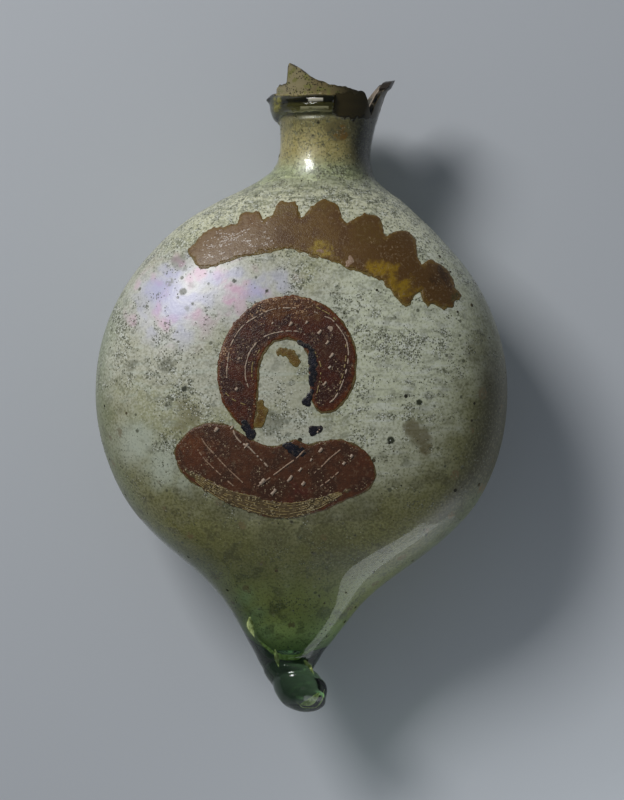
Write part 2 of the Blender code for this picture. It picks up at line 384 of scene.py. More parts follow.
class FinishTree:
    """The node tree of one finish, with the patterns that old glass, paint and soil share."""

    def __init__(self, name: str) -> None:
        """Start a material with an empty tree.

        Args:
            name: The material's name.
        """
        self.material = bpy.data.materials.new(name)
        self.material.use_nodes = True
        self.tree = self.material.node_tree
        self.tree.nodes.clear()
        self.place = self.add("ShaderNodeTexCoord").outputs["Object"]
        level = {0: self.place, 1: (1.0, 1.0, 0.0)}
        self.plan = self.add("ShaderNodeVectorMath", level, operation="MULTIPLY")
        sides = self.add("ShaderNodeSeparateXYZ", {0: self.place}).outputs
        self.x, self.y, self.z = (Mask(self, side) for side in sides)

    def add(self, kind: str, inputs: dict | None = None, **settings: object) -> Node:
        """Add a node to this tree, as add_node does."""
        return add_node(self.tree, kind, inputs, **settings)

    def mask(self, kind: str, inputs: dict, output: int | str = 0, **settings: object) -> Mask:
        """Add a node and take one of its outputs as a mask."""
        return Mask(self, self.add(kind, inputs, **settings).outputs[output])

    def across(self, low_mm: float, high_mm: float) -> Mask:
        """0 at one place from left to right, 1 at the other, eased between."""
        return self.x.fade(low_mm * MM, high_mm * MM)

    def along(self, low_mm: float, high_mm: float) -> Mask:
        """0 at one place along the flask, 1 at the other, eased between."""
        return self.y.fade(low_mm * MM, high_mm * MM)

    def upper(self) -> Mask:
        """1 on the flask's upper side."""
        return self.z.fade(AXIS_HEIGHT, AXIS_HEIGHT + UPPER_FADE)

    def cloud(
        self, size_mm: float, detail: float = 4.0, stretch: Sequence[float] = (1, 1, 1)
    ) -> Mask:
        """Soft random patches.

        Args:
            size_mm: Width of a patch.
            detail: Octaves of finer patches.
            stretch: How much finer the patches are along each axis.

        Returns:
            A mask between about 0.3 and 0.7.
        """
        moved = self.add("ShaderNodeMapping", {"Vector": self.place, "Scale": stretch})
        inputs = {"Vector": moved, "Scale": PER_MM / size_mm, "Detail": detail}
        return self.mask("ShaderNodeTexNoise", inputs)

    def cells(self, cell_mm: float) -> tuple[Mask, Mask]:
        """Random cells.

        Args:
            cell_mm: Mean distance between them.

        Returns:
            A chance for each cell, from 0 to 1, and the distance from its middle.
        """
        inputs = {"Vector": self.place, "Scale": PER_MM / cell_mm}
        cells = self.add("ShaderNodeTexVoronoi", inputs).outputs
        chance = self.mask("ShaderNodeSeparateColor", {0: cells["Color"]})
        return chance, Mask(self, cells["Distance"])

    def spots(self, cell_mm: float, size: float) -> Mask:
        """Small round spots of uneven size.

        Args:
            cell_mm: Mean distance between them.
            size: Share of a cell that the largest reach.

        Returns:
            A mask that is 1 in a spot.
        """
        chance, away = self.cells(cell_mm)
        return (chance * size - away).fade(-0.02, 0.06)

    def stipple(self, cell_mm: float, share: Mask, size: float = 0.45) -> Mask:
        """Fine round dots, crisp as pinpricks.

        Args:
            cell_mm: Mean distance between them where every place holds one.
            share: Share of the places that hold a dot, 0 to 1.
            size: Radius of the largest, as a share of that distance.

        Returns:
            A mask that is 1 in a dot.
        """
        chance, away = self.cells(cell_mm)
        reach = (share - chance).fade(0.0, 0.25) * size
        return (reach - away).fade(-0.05, 0.08)

    def ball(
        self, centre_mm: Sequence[float], radius_mm: float, soft_mm: float, ragged_mm: float
    ) -> Mask:
        """A ragged round zone.

        Args:
            centre_mm: Its middle, or x and y alone for a zone on the upper side.
            radius_mm: Where it fades to a half.
            soft_mm: Width of the fade.
            ragged_mm: How far its edge wanders.

        Returns:
            A mask that is 1 inside.
        """
        flat = len(centre_mm) == 2
        middle = tuple(value * MM for value in centre_mm) + (0.0,) * flat
        inputs = {0: self.plan if flat else self.place, 1: middle}
        away = self.mask("ShaderNodeVectorMath", inputs, "Value", operation="DISTANCE")
        wobble = self.cloud(min(9.0, radius_mm), 6.0) - 0.5
        radius, half = radius_mm * MM, 0.5 * soft_mm * MM
        inside = wobble.scaled(4.0 * ragged_mm * MM, away).fade(radius + half, radius - half)
        return inside * self.upper() if flat else inside

    def zones(self, places: Sequence[tuple], soft_mm: float, ragged_mm: float) -> Mask:
        """Several ragged round zones in one.

        Args:
            places: The middle and radius of each, in mm.
            soft_mm: Width of their fading edges.
            ragged_mm: How far the edges wander.

        Returns:
            A mask that is 1 inside any of them.
        """
        balls = [self.ball(centre, radius, soft_mm, ragged_mm) for centre, radius in places]
        return reduce(operator.or_, balls)

    def strip(
        self, low_mm: Sequence[float], high_mm: Sequence[float], soft_mm: float = 0.3
    ) -> Mask:
        """A level oblong zone on the upper side.

        Args:
            low_mm: Its lower left corner, x and y.
            high_mm: Its upper right corner.
            soft_mm: Width of its fading edge.

        Returns:
            A mask that is 1 inside.
        """
        inside = self.upper()
        for fade, low, high in zip((self.across, self.along), low_mm, high_mm):
            inside = inside * (fade(low - soft_mm, low) * fade(high + soft_mm, high))
        return inside

    def layered(self, base: str, layers: Sequence[tuple[str, Mask]]) -> object:
        """Lay colours over each other.

        Args:
            base: The lowest colour, as #RRGGBB.
            layers: Colours and the masks that show them, lowest first.

        Returns:
            What feeds the final colour.
        """
        colour: object = linear(base)
        for tint, mask in layers:
            inputs = {"Factor": mask, MIX_A: colour, MIX_B: linear(tint)}
            colour = self.add("ShaderNodeMix", inputs, data_type="RGBA").outputs[MIX_COLOUR]
        return colour

    def done(self, surface: object, **more: object) -> Material:
        """Close the tree with its output.

        Args:
            surface: The surface's shader, or the inputs of a plain one.
            more: The shader of the volume, for glass.

        Returns:
            The material.
        """
        if isinstance(surface, dict):
            surface = self.add("ShaderNodeBsdfPrincipled", surface)
        self.add("ShaderNodeOutputMaterial", {"Surface": surface, **more})
        return self.material


@dataclass(frozen=True)
class BlownGlass:
    """Blown soda-lime glass: pale green and clear, dark green where it is thick, with painted shade
    tinting the tail darker still.
    """

    tint: str = "#F6F8F3"
    tail_painted_shade: str = "#C2D0BC"
    trail_tint: str = "#66602A"
    lump_tint: str = "#A39C2E"
    lip_tint: str = "#2A2016"
    crust: str = "#8A7C54"
    # Crust colours to each side of the mouth: partly painted light and painted shade.
    crust_pale_and_lit: str = "#A29670"
    crust_shade: str = "#4A4026"
    crust_inside: str = "#B4A290"
    crust_yellow: str = "#8E8A52"
    crust_speck: str = "#3E3822"
    brink: str = "#332C1C"
    scar_tint: str = "#40371D"
    lump_flake: str = "#7E7830"
    # Painted highlights: pale strips standing for the lamp's reflection in the trail.
    upper_painted_highlight: str = "#D2CCB8"
    lower_painted_highlight: str = "#BDB78E"
    absorption: str = "#B9CCB4"
    density: float = 210.0
    ior: float = 1.5
    smooth: float = 0.035
    weathered: float = 0.38
    rubbed: float = 0.09
    chalky: float = 0.35
    tail_shade: str = "#7C8878"

    def build(self) -> Material:
        """The glass: it takes the marks for the trail, the rim and the crust from the mesh.

        Returns:
            The material.
        """
        t = FinishTree("blown_pale_green_glass")
        marks = ("trail", "lip", "crust", "scar", "brink", "outside")
        kept = (t.mask("ShaderNodeAttribute", {}, "Fac", attribute_name=name) for name in marks)
        trail, lip, crust, scar, brink, outside = kept
        # The crust is whole on the mouth and broken along the fracture.
        crust = crust * t.cloud(2.2, 6.0).fade(0.36, 0.50) | crust.fade(0.50, 0.75)
        scar = (scar + t.cloud(2.0, 5.0).scaled(1.6, -0.8)).fade(0.20, 0.75)
        brink = brink * t.cloud(1.6, 4.0).fade(0.38, 0.52)
        # Fine specks thicken in clouds; yellow silt lies in the hollows between them. Real
        # specks are finer, and these are as coarse as they need to be to show.
        silt = outside * t.cloud(1.8, 4.0).fade(0.50, 0.60)
        specked = t.cloud(3.0, 4.0).fade(0.44, 0.58).scaled(0.7, 0.12)
        # Two strips of painted highlight, the lamp's reflection in the trail, lie on it as pale
        # opaque strips, and a pale flake on its lump.
        upper = t.strip((2.2, 89.4), (6.5, 90.2)) * trail
        streaky = t.cloud(1.4, 3.0, (0.4, 1.6, 1.0)).fade(0.36, 0.46)
        lower = t.strip((-0.2, 87.0), (8.2, 87.7)) * trail * streaky
        lump = t.strip((-8.2, 87.2), (-6.6, 91.0), 0.8) * trail
        lump = lump * t.cloud(1.4, 4.0).fade(0.42, 0.54)
        layers = (
            # Painted shade: the tail's glass is tinted darker than its thickness makes it.
            (self.tail_painted_shade, t.along(-70.0, -84.0)),
            (self.trail_tint, trail),
            (self.lump_tint, trail * t.across(-4.0, -9.0)),
            (self.crust, crust.fade(0.0, 0.3)),
            # Partly painted light and shade: the crust is paler and pinker to the left, towards the
            # lamp, and darker to the right, painted shade away from it.
            (self.crust_pale_and_lit, crust * t.across(6.0, -1.0)),
            (self.crust_yellow, crust * silt),
            (self.crust_shade, crust * t.across(8.0, 16.0)),
            (self.crust_inside, crust * (1.0 - outside)),
            (self.crust_speck, crust * outside * t.stipple(0.55, specked)),
            (self.brink, brink),
            (self.scar_tint, scar.fade(0.0, 0.3)),
            (self.lip_tint, lip.fade(0.0, 0.3)),
            (self.lump_flake, lump),
            (self.upper_painted_highlight, upper),
            (self.lower_painted_highlight, lower),
        )
        opaque = crust | lip | scar | (upper | lower | lump)
        clear = 1.0 - opaque
        # The body is dulled by pitting; the tail, the lower body and the neck still shine.
        dull = t.along(-46.0, -28.0) * t.along(70.0, 58.0) * outside
        rubbed = t.along(48.0, 60.0) * t.along(84.0, 78.0)
        rough = rubbed.scaled(self.rubbed, dull.scaled(self.weathered, self.smooth))
        waves = t.cloud(7.0, 2.0) * dull.scaled(0.6, 0.2)
        height = (t.spots(1.3, 0.34) * dull).scaled(-0.1, waves)
        bumps = {"Height": height, "Distance": 0.25 * MM, "Strength": 0.5}
        looks = {
            "Base Color": t.layered(self.tint, layers),
            "Roughness": rough + (opaque - scar) * self.chalky,
            "IOR": self.ior,
            "Transmission Weight": clear,
            "Normal": t.add("ShaderNodeBump", bumps),
        }
        shader = t.add("ShaderNodeBsdfPrincipled", looks)
        # Light from lamps passes the thin wall straight, as through any window. The thick
        # round tail bends most of it away.
        shade = t.layered(self.tint, ((self.tail_shade, t.along(-70.0, -82.0)),))
        passing = t.add("ShaderNodeBsdfTransparent", {"Color": shade})
        through = t.mask("ShaderNodeLightPath", {}, "Is Shadow Ray") * clear
        surface = t.add("ShaderNodeMixShader", {0: through, 1: shader, 2: passing})
        depths = {"Color": linear(self.absorption), "Density": self.density}
        return t.done(surface, Volume=t.add("ShaderNodeVolumeAbsorption", depths))


@dataclass(frozen=True)
class WeatheringFilmFinish:
    """Milky silica film of decayed glass: pale above, with a painted highlight and painted iridescent
    sheen, olive below.
    """

    pale: str = "#D0CFB8"
    cool: str = "#D0D8C6"
    warm: str = "#B6B68E"
    # bright, pink and lilac: the painted highlight and its painted iridescent sheen.
    bright: str = "#F2F0F0"
    # Painted light, to lift the film right of the hood.
    painted_light: str = "#E7EBCA"
    shoulder: str = "#ECEAC6"
    collar: str = "#9BA27B"
    streak: str = "#6F7450"
    tail_painted_glow: str = "#E8F2A8"
    pink: str = "#EFC3D8"
    lilac: str = "#CDCDF6"
    wall_painted_glow: str = "#B6C89A"
    rim: str = "#8C9A78"
    olive: str = "#7C7942"
    green: str = "#ACA862"
    painted_shade: str = "#5A5836"
    grain: str = "#7E8066"
    pale_grain: str = "#EFF1E2"
    low_grain: str = "#4C4828"
    low_pale: str = "#A8A27A"
    shadow_under_trail: str = "#6A6234"
    brown: str = "#46401F"
    neck: str = "#A6985F"
    neck_shade: str = "#343019"
    neck_pale: str = "#BCAE80"
    lump: str = "#8C8434"
    shadow: str = "#3E3722"
    mouth: str = "#8E7B66"
    stain: str = "#6A5E36"
    drip: str = "#7C7446"
    rust: str = "#805E18"
    painted_rim_glow: str = "#D6DE92"
    blotch: str = "#7C7E6C"
    pit: str = "#505239"
    blot: str = "#3A3D26"
    fleck: str = "#F6F8EE"
    ior: float = 1.5
    roughness: float = 0.37
    sheen: float = 0.82
    streaks: tuple = (
        ((24, 12, 60.8), 3.5), ((31.5, 13.5, 58.8), 6), ((41, 14, 55), 4.5),
        ((44, 24, 51.5), 3.5), ((46, 7, 53), 3.5), ((19, 2, 62), 3),
    )
    # Places of the painted highlight, and of the painted pink and blue sheen in it, in mm.
    shine: tuple = (((-37.5, 29, 54), 12.5), ((-23, 32, 58), 8), ((-46, 24), 4))
    pinks: tuple = (((-25, 35.5), 2), ((-30.5, 36.3), 2), ((-21.5, 28), 1.5))
    blues: tuple = (((-42.5, 30), 5), ((-38, 25), 4), ((-14, 31), 2.5))
    wall_painted_glows: tuple = (((-17, -62.5), 2.6), ((-13.5, -68), 2.6), ((-10.5, -73.5), 2))
    robe_shade: tuple = (
        ((-21, -36, 56), 7), ((-7, -40.5, 55), 7.5), ((7, -39.5, 55), 7.5),
        ((17, -34, 56), 7), ((-32, -31), 3.5),
    )
    stains: tuple = (
        ((33.6, -10.8), 2.6), ((36, -13.2), 3), ((37.6, -17), 2), ((11, 80.6), 3.4),
    )
    smooth: tuple = (((-5.5, 10), 6), ((-2, 0), 6), ((24, -1), 6))
    low_shade: tuple = (((10.5, -54), 9), ((4, -62), 8))
    drips: tuple = (((-36, -3), 1.8), ((-33.5, -6.5), 3.6), ((-36.5, -9.5), 2.4))
    blots: tuple = (
        ((-36, 30.8), 1.1), ((-35.5, 1.2), 0.9), ((-20.3, 34), 0.6), ((35.8, -2.8), 0.9),
        ((27.2, -14.3), 1.1), ((-10.4, 30.9), 0.5), ((-33, 27), 0.4),
    )
    soft_blots: tuple = (
        ((-33.4, 32.9), 0.9), ((-40.6, 8.5), 2.2), ((-51.8, 8.9), 1.8), ((10.2, 30.1), 1.3),
        ((31.8, -21), 1.4), ((-37.5, 40), 2.4), ((8, 33), 0.6), ((-9, -9), 4),
    )
    beside_robe: tuple = (((-50, -15), 6), ((-42, -22), 6), ((-36, -27), 3))

    def build(self) -> Material:
        """The film: bare over the body, under clear glass at the neck and the tail.

        Returns:
            The material.
        """
        t = FinishTree("milky_weathering_film")
        lower = 1.0 - t.ball((-5.0, 23.0, 31.0), 64.5, 24.0, 4.0)
        neck, collar = t.along(68.0, 75.0), t.along(58.0, 68.0)
        low_or_neck = lower | neck
        # Painted shade with some brown deposit: the film turns brown towards the right edge, the side
        # away from the lamp.
        right = t.across(30.0, 46.0) * (1.0 - t.ball((-1.0, 0.0, 31.8), 59.0, 5.0, 1.0))
        right = right * t.along(22.0, 0.0).scaled(0.85, 0.1)
        # Painted shade: a darker, greener band along the outline, as thick glass looks there, and
        # more of it on the left and low down.
        edge = 1.0 - t.ball((0.0, 0.0, 31.8), 61.8, 5.0, 1.0)
        edge = edge * t.along(18.0, 36.0).scaled(-0.8, 1.0)
        low_edge_shade = edge * (t.across(-6.0, -24.0) | t.along(-22.0, -36.0))
        # Painted highlight: the lamp's reflection is painted into the film as a bright patch, with
        # painted pink and blue sheen, as thin layers of decayed glass show in reflected light.
        painted_highlight = t.zones(self.shine, 15.0, 2.5) | t.ball((-9.0, 33.0, 59.0), 6.0, 14.0, 2.0) * 0.7
        patches = t.cloud(6.5, 1.5)
        pink = t.zones(self.pinks, 3.0, 1.2) * 0.9 | painted_highlight * patches.fade(0.52, 0.68)
        blue = t.zones(self.blues, 6.0, 2.0) * 0.7 | painted_highlight * (patches.fade(0.50, 0.34) * 0.6)
        thick, pitting, flecks = self.pitting(t, painted_highlight, lower)
        # Painted light: a bright line along the cavity's lower end, as light caught in the glass
        # shows there.
        painted_rim_glow = abs(t.z - AXIS_HEIGHT).fade(5.2 * MM, 2.0 * MM) * t.along(-66.0, -74.0)
        mottle = t.cloud(2.6, 5.0).fade(0.46, 0.60)
        # Painted light: the film is painted whiter right of the hood, where the key light from the
        # left leaves it dim, less so lower down. It is also whiter on the shoulder.
        painted_light_zone = t.across(0.0, 22.0) * t.across(60.0, 50.0)
        painted_light_zone = painted_light_zone * t.along(8.0, -12.0).scaled(-0.4, 1.0)
        level_streaks = t.cloud(4.0, 4.0, (0.4, 4.0, 2.0)).fade(0.47, 0.60)
        level_streaks = level_streaks * t.along(50.0, 58.0) * t.along(76.0, 70.0)
        wiggle = abs(t.cloud(2.2, 4.0, (1.3, 0.8, 1.0)) - 0.5)
        crackle = wiggle.fade(0.024, 0.008) * t.cloud(5.0, 2.0).fade(0.46, 0.56)
        crackle = crackle * t.along(58.0, 66.0)
        fine = t.cloud(0.75, 2.0)
        dark_grain, pale_grain = fine.fade(0.52, 0.62), fine.fade(0.49, 0.39)
        rough = thick.scaled(0.52, 0.24) * painted_highlight.scaled(-0.6, 1.0) * collar.scaled(-0.65, 1.0)
        rough = rough * t.zones(self.smooth, 5.0, 2.0).scaled(-0.45, 1.0)
        dapple = t.cloud(3.4, 4.0).fade(0.50, 0.64) * painted_highlight.scaled(-0.8, 1.0)
        # Painted shadow: the film darkens just below the trail, with a ragged edge.
        shadow_under_trail = t.y + mottle.scaled(3.0 * MM, -1.5 * MM)
        blotches = t.spots(8.0, 0.26) * t.cloud(1.0, 3.0).fade(0.40, 0.52)
        bands = t.cloud(9.0, 4.0, (0.5, 5.0, 4.0))
        pale_bands, beside = bands.fade(0.52, 0.66), t.across(10.0, 24.0)
        layers = (
            (self.warm, t.cloud(22.0, 4.0).fade(0.42, 0.62)),
            (self.cool, pale_bands * 0.45),
            # Painted shade along the outline.
            (self.rim, edge * 0.75),
            (self.painted_light, painted_light_zone * 0.9),
            (self.blotch, bands.fade(0.48, 0.36) * beside * 0.35),
            (self.fleck, pale_bands * beside * 0.4),
            (self.shoulder, t.along(40.0, 56.0) * 0.85),
            (self.collar, collar * 0.9),
            (self.streak, level_streaks * 0.6),
            # The painted highlight, then its painted sheen further down.
            (self.bright, painted_highlight),
            (self.blotch, t.cloud(3.0, 4.0).fade(0.44, 0.64) * thick * 0.35),
            (self.blotch, dapple * 0.4),
            (self.grain, dark_grain * rough),
            (self.pale_grain, pale_grain * rough),
            (self.pink, pink),
            (self.lilac, blue),
            (self.drip, t.zones(self.drips, 3.0, 1.2) * 0.6),
            (self.olive, lower),
            # Painted shade, with some brown deposit, towards the right edge.
            (self.brown, right * 0.9),
            (self.rim, low_edge_shade * lower * 0.55),
            (self.cool, t.zones(self.beside_robe, 9.0, 2.0) * 0.7),
            # Painted shade below the robe's hem and on the lower body right of the middle.
            (self.painted_shade, t.zones(self.robe_shade, 9.0, 2.0) * 0.6),
            (self.painted_shade, t.zones(self.low_shade, 12.0, 2.0) * 0.5),
            (self.green, t.along(-50.0, -66.0)),
            # Painted glow in the tail and in patches of the lower left wall, standing for light
            # gathered in the thick glass.
            (self.tail_painted_glow, t.along(-66.0, -78.0)),
            (self.wall_painted_glow, t.zones(self.wall_painted_glows, 6.0, 1.0) * 0.85),
            (self.neck, neck),
            (self.neck_pale, mottle * neck * 0.5),
            (self.shadow_under_trail, shadow_under_trail.fade(76.5 * MM, 83.5 * MM) * 0.8),
            # Painted shade on the neck's right side, away from the lamp.
            (self.neck_shade, t.ball((23.0, 77.0, 38.0), 10.0, 9.0, 1.0)),
            (self.low_grain, t.cloud(5.0, 5.0).fade(0.55, 0.63) * lower * 0.5),
            (self.low_grain, dark_grain * low_or_neck * 0.42),
            (self.low_pale, pale_grain * low_or_neck * 0.26),
            (self.stain, t.zones(self.stains, 2.0, 0.8) * 0.75),
            (self.rust, t.ball((12.6, 79.4, 46.0), 1.7, 1.8, 2.4)),
            (self.shadow, t.along(84.0, 86.0)),
            (self.lump, t.ball((-7.5, 89.0, 38.0), 4.0, 4.0, 2.0)),
            (self.mouth, t.along(91.5, 93.0)),
            (self.blotch, blotches * 0.6),
            (self.rust, blotches * lower * 0.6),
            (self.pit, pitting * 0.8),
            (self.pit, t.zones(self.soft_blots, 1.6, 0.9) * 0.45),
            (self.blot, t.zones(self.blots, 0.6, 0.3)),
            (self.low_grain, crackle * 0.85),
            (self.fleck, flecks * (low_or_neck | collar).scaled(-0.75, 1.0) * 0.7),
            (self.painted_rim_glow, painted_rim_glow),
        )
        height = pitting.scaled(-0.8, t.cloud(1.2, 4.0))
        bumps = {"Height": height, "Distance": 0.14 * MM, "Strength": 0.5}
        looks = {
            "Base Color": t.layered(self.pale, layers),
            "Roughness": self.roughness,
            "IOR": self.ior,
            "Specular IOR Level": self.sheen,
            "Normal": t.add("ShaderNodeBump", bumps),
        }
        return t.done(looks)

    def pitting(self, t: FinishTree, painted_highlight: Mask, lower: Mask) -> tuple[Mask, Mask, Mask]:
        """Fine pits, half a millimetre apart, in clouds and level streaks.

        Args:
            t: The finish's tree.
            painted_highlight: Where the lamp's highlight is painted in; the film is smooth there,
                with few pits.
            lower: The olive lower body, where pits are thinly strewn.

        Returns:
            How thick the cloud is, and masks that are 1 in a pit and in a pale fleck.
        """
        # The thickest cloud lies left of the hood, and level streaks lie to its right. Many
        # real pits are finer: these are as coarse as they need to be to show.
        left = t.ball((-38.0, 8.0, 56.0), 15.0, 16.0, 3.0)
        clumps = t.cloud(3.0, 5.0).fade(0.47, 0.62)
        clouds = left.scaled(0.4, t.cloud(10.0, 6.0).fade(0.44, 0.62))
        level = t.cloud(12.0, 5.0, (0.35, 2.6, 1.0)).fade(0.46, 0.62)
        thick = t.mask("ShaderNodeMix", {0: t.across(12.0, 34.0), 2: clouds, 3: level})
        thick = (thick | t.along(34.0, 44.0) * 0.7) * t.along(74.0, 56.0)
        thick = thick * lower.scaled(-0.35, 1.0) * clumps.scaled(0.8, 0.45)
        neck = t.along(50.0, 58.0) * t.across(-6.0, 5.0) * clumps.scaled(0.8, 0.2)
        thick = thick | (neck | 0.16)
        for centre, radius in self.streaks:
            thick = thick | t.ball(centre, radius, 5.0, 3.0) * 0.95
        thick = thick * painted_highlight.scaled(-0.6, 1.0)
        fine = t.stipple(0.52, thick.scaled(0.72, 0.08), 0.50)
        coarse = t.stipple(1.0, thick.scaled(0.32, 0.03), 0.36)
        pits = fine | coarse | t.spots(4.5, 0.16)
        return thick, pits, t.stipple(0.6, thick.scaled(0.45, 0.10), 0.38)


@dataclass(frozen=True)
class EnamelPaint:
    """Painted enamel, pitted and worn, with fine painted glints where it catches the lamp."""

    name: str
    body: str
    worn: str
    deep: str
    rim: str
    left: str = ""
    right: str = ""
    patches: tuple = ()
    glints: tuple = ()
    specks: float = 0.10
    speck: str = "#A8947A"
    glint: str = "#DCD0C4"
    roughness: float = 0.36
    grain_mm: float = 0.42
    grain_depth_mm: float = 0.18

    def build(self) -> Material:
        """The enamel, thin and warm at its rim, darker where it lies thick.

        Returns:
            The material.
        """
        t = FinishTree(self.name)
        inside = t.mask("ShaderNodeAttribute", {}, "Fac", attribute_name="inside")
        rim = (inside + t.cloud(1.6, 4.0).scaled(2.4, -1.2)).fade(1.2, 0.1)
        # Real wear is finer still: chips and specks are as coarse as they need to be to show.
        worn = t.cloud(5.0).fade(0.44, 0.60)
        chips = t.cloud(0.7, 3.0).fade(0.58, 0.66) * worn
        fine = t.cloud(1.1, 4.0)
        some = worn.scaled(self.specks, 0.3 * self.specks)
        streaks = t.cloud(1.6, 4.0, (0.6, 1.4, 1.0)).fade(0.42, 0.60)
        layers = [(self.deep, t.cloud(5.0, 5.0).fade(0.44, 0.58))]
        if self.left:
            layers.append((self.left, t.across(-2.0, -18.0)))
        if self.right:
            layers.append((self.right, t.across(6.0, 30.0)))
        for tint, centre, radius in self.patches:
            layers.append((tint, t.ball(centre, radius, 4.5, 4.0) * 0.85))
        layers += [
            (self.rim, rim * 0.7),
            (self.deep, fine.fade(0.50, 0.62) * 0.5),
            (self.speck, fine.fade(0.44, 0.34) * 0.16),
            (self.worn, chips * 0.6),
            (self.speck, t.stipple(0.55, some, 0.40)),
        ]
        # Painted glints: fine highlights painted where the enamel catches the lamp.
        for centre, radius in self.glints:
            dense = t.ball(centre, radius, 10.0, 3.0) * streaks
            layers.append((self.glint, t.stipple(0.5, dense, 0.5) * 0.7))
        grain = t.cloud(self.grain_mm, 3.0)
        bumps = {"Height": grain, "Distance": self.grain_depth_mm * MM, "Strength": 0.9}
        looks = {
            "Base Color": t.layered(self.body, layers),
            "Roughness": self.roughness,
            "IOR": 1.5,
            "Normal": t.add("ShaderNodeBump", bumps),
        }
        return t.done(looks)


@dataclass(frozen=True)
class DrySoil:
    """Dry burial soil and decay pits: dark, rough grains."""

    dark: str = "#2C2A1C"
    light: str = "#5A5136"

    def build(self) -> Material:
        """The soil, its tone changing from grain to grain.

        Returns:
            The material.
        """
        t = FinishTree("dry_burial_soil")
        tone = t.layered(self.dark, ((self.light, t.cloud(1.6, 2.0).fade(0.45, 0.62)),))
        bumps = {"Height": t.cloud(0.2), "Distance": 0.05 * MM, "Strength": 0.6}
        normal = t.add("ShaderNodeBump", bumps)
        return t.done({"Base Color": tone, "Roughness": 0.85, "Normal": normal})


@dataclass(frozen=True)
class GlintGlass:
    """Painted glints: pale yellow-green satin glass, as flawed glass full of fine gas bubbles, that
    stands for glints in the tail.
    """

    colour: str = "#DCE6A0"
    dim: str = "#A8B46A"

    def build(self) -> Material:
        """The thread, a little uneven in tone.

        Returns:
            The material.
        """
        t = FinishTree("painted_glint_glass")
        tone = t.layered(self.colour, ((self.dim, t.cloud(1.2, 3.0).fade(0.46, 0.62)),))
        return t.done({"Base Color": tone, "Roughness": 0.2, "IOR": 1.5})


@dataclass(frozen=True)
class MattePaper:
    """Background paper: pale, even and without gloss."""

    colour: str = "#D5D9DE"

    def build(self) -> Material:
        """The paper, with its fibres just felt.

        Returns:
            The material.
        """
        t = FinishTree("matte_background_paper")
        bumps = {"Height": t.cloud(0.8), "Distance": 0.03 * MM, "Strength": 0.3}
        looks = {
            "Base Color": linear(self.colour),
            "Roughness": 0.9,
            "Specular IOR Level": 0.2,
            "Normal": t.add("ShaderNodeBump", bumps),
        }
        return t.done(looks)


# ---- The glass ----


NECK_RADIUS = 18.0  # mm, at the broken edge
EVENING = ((-5.0, 0.1), (-2.5, 0.2), (0.0, 0.4), (2.5, 0.2), (5.0, 0.1))  # mm and shares


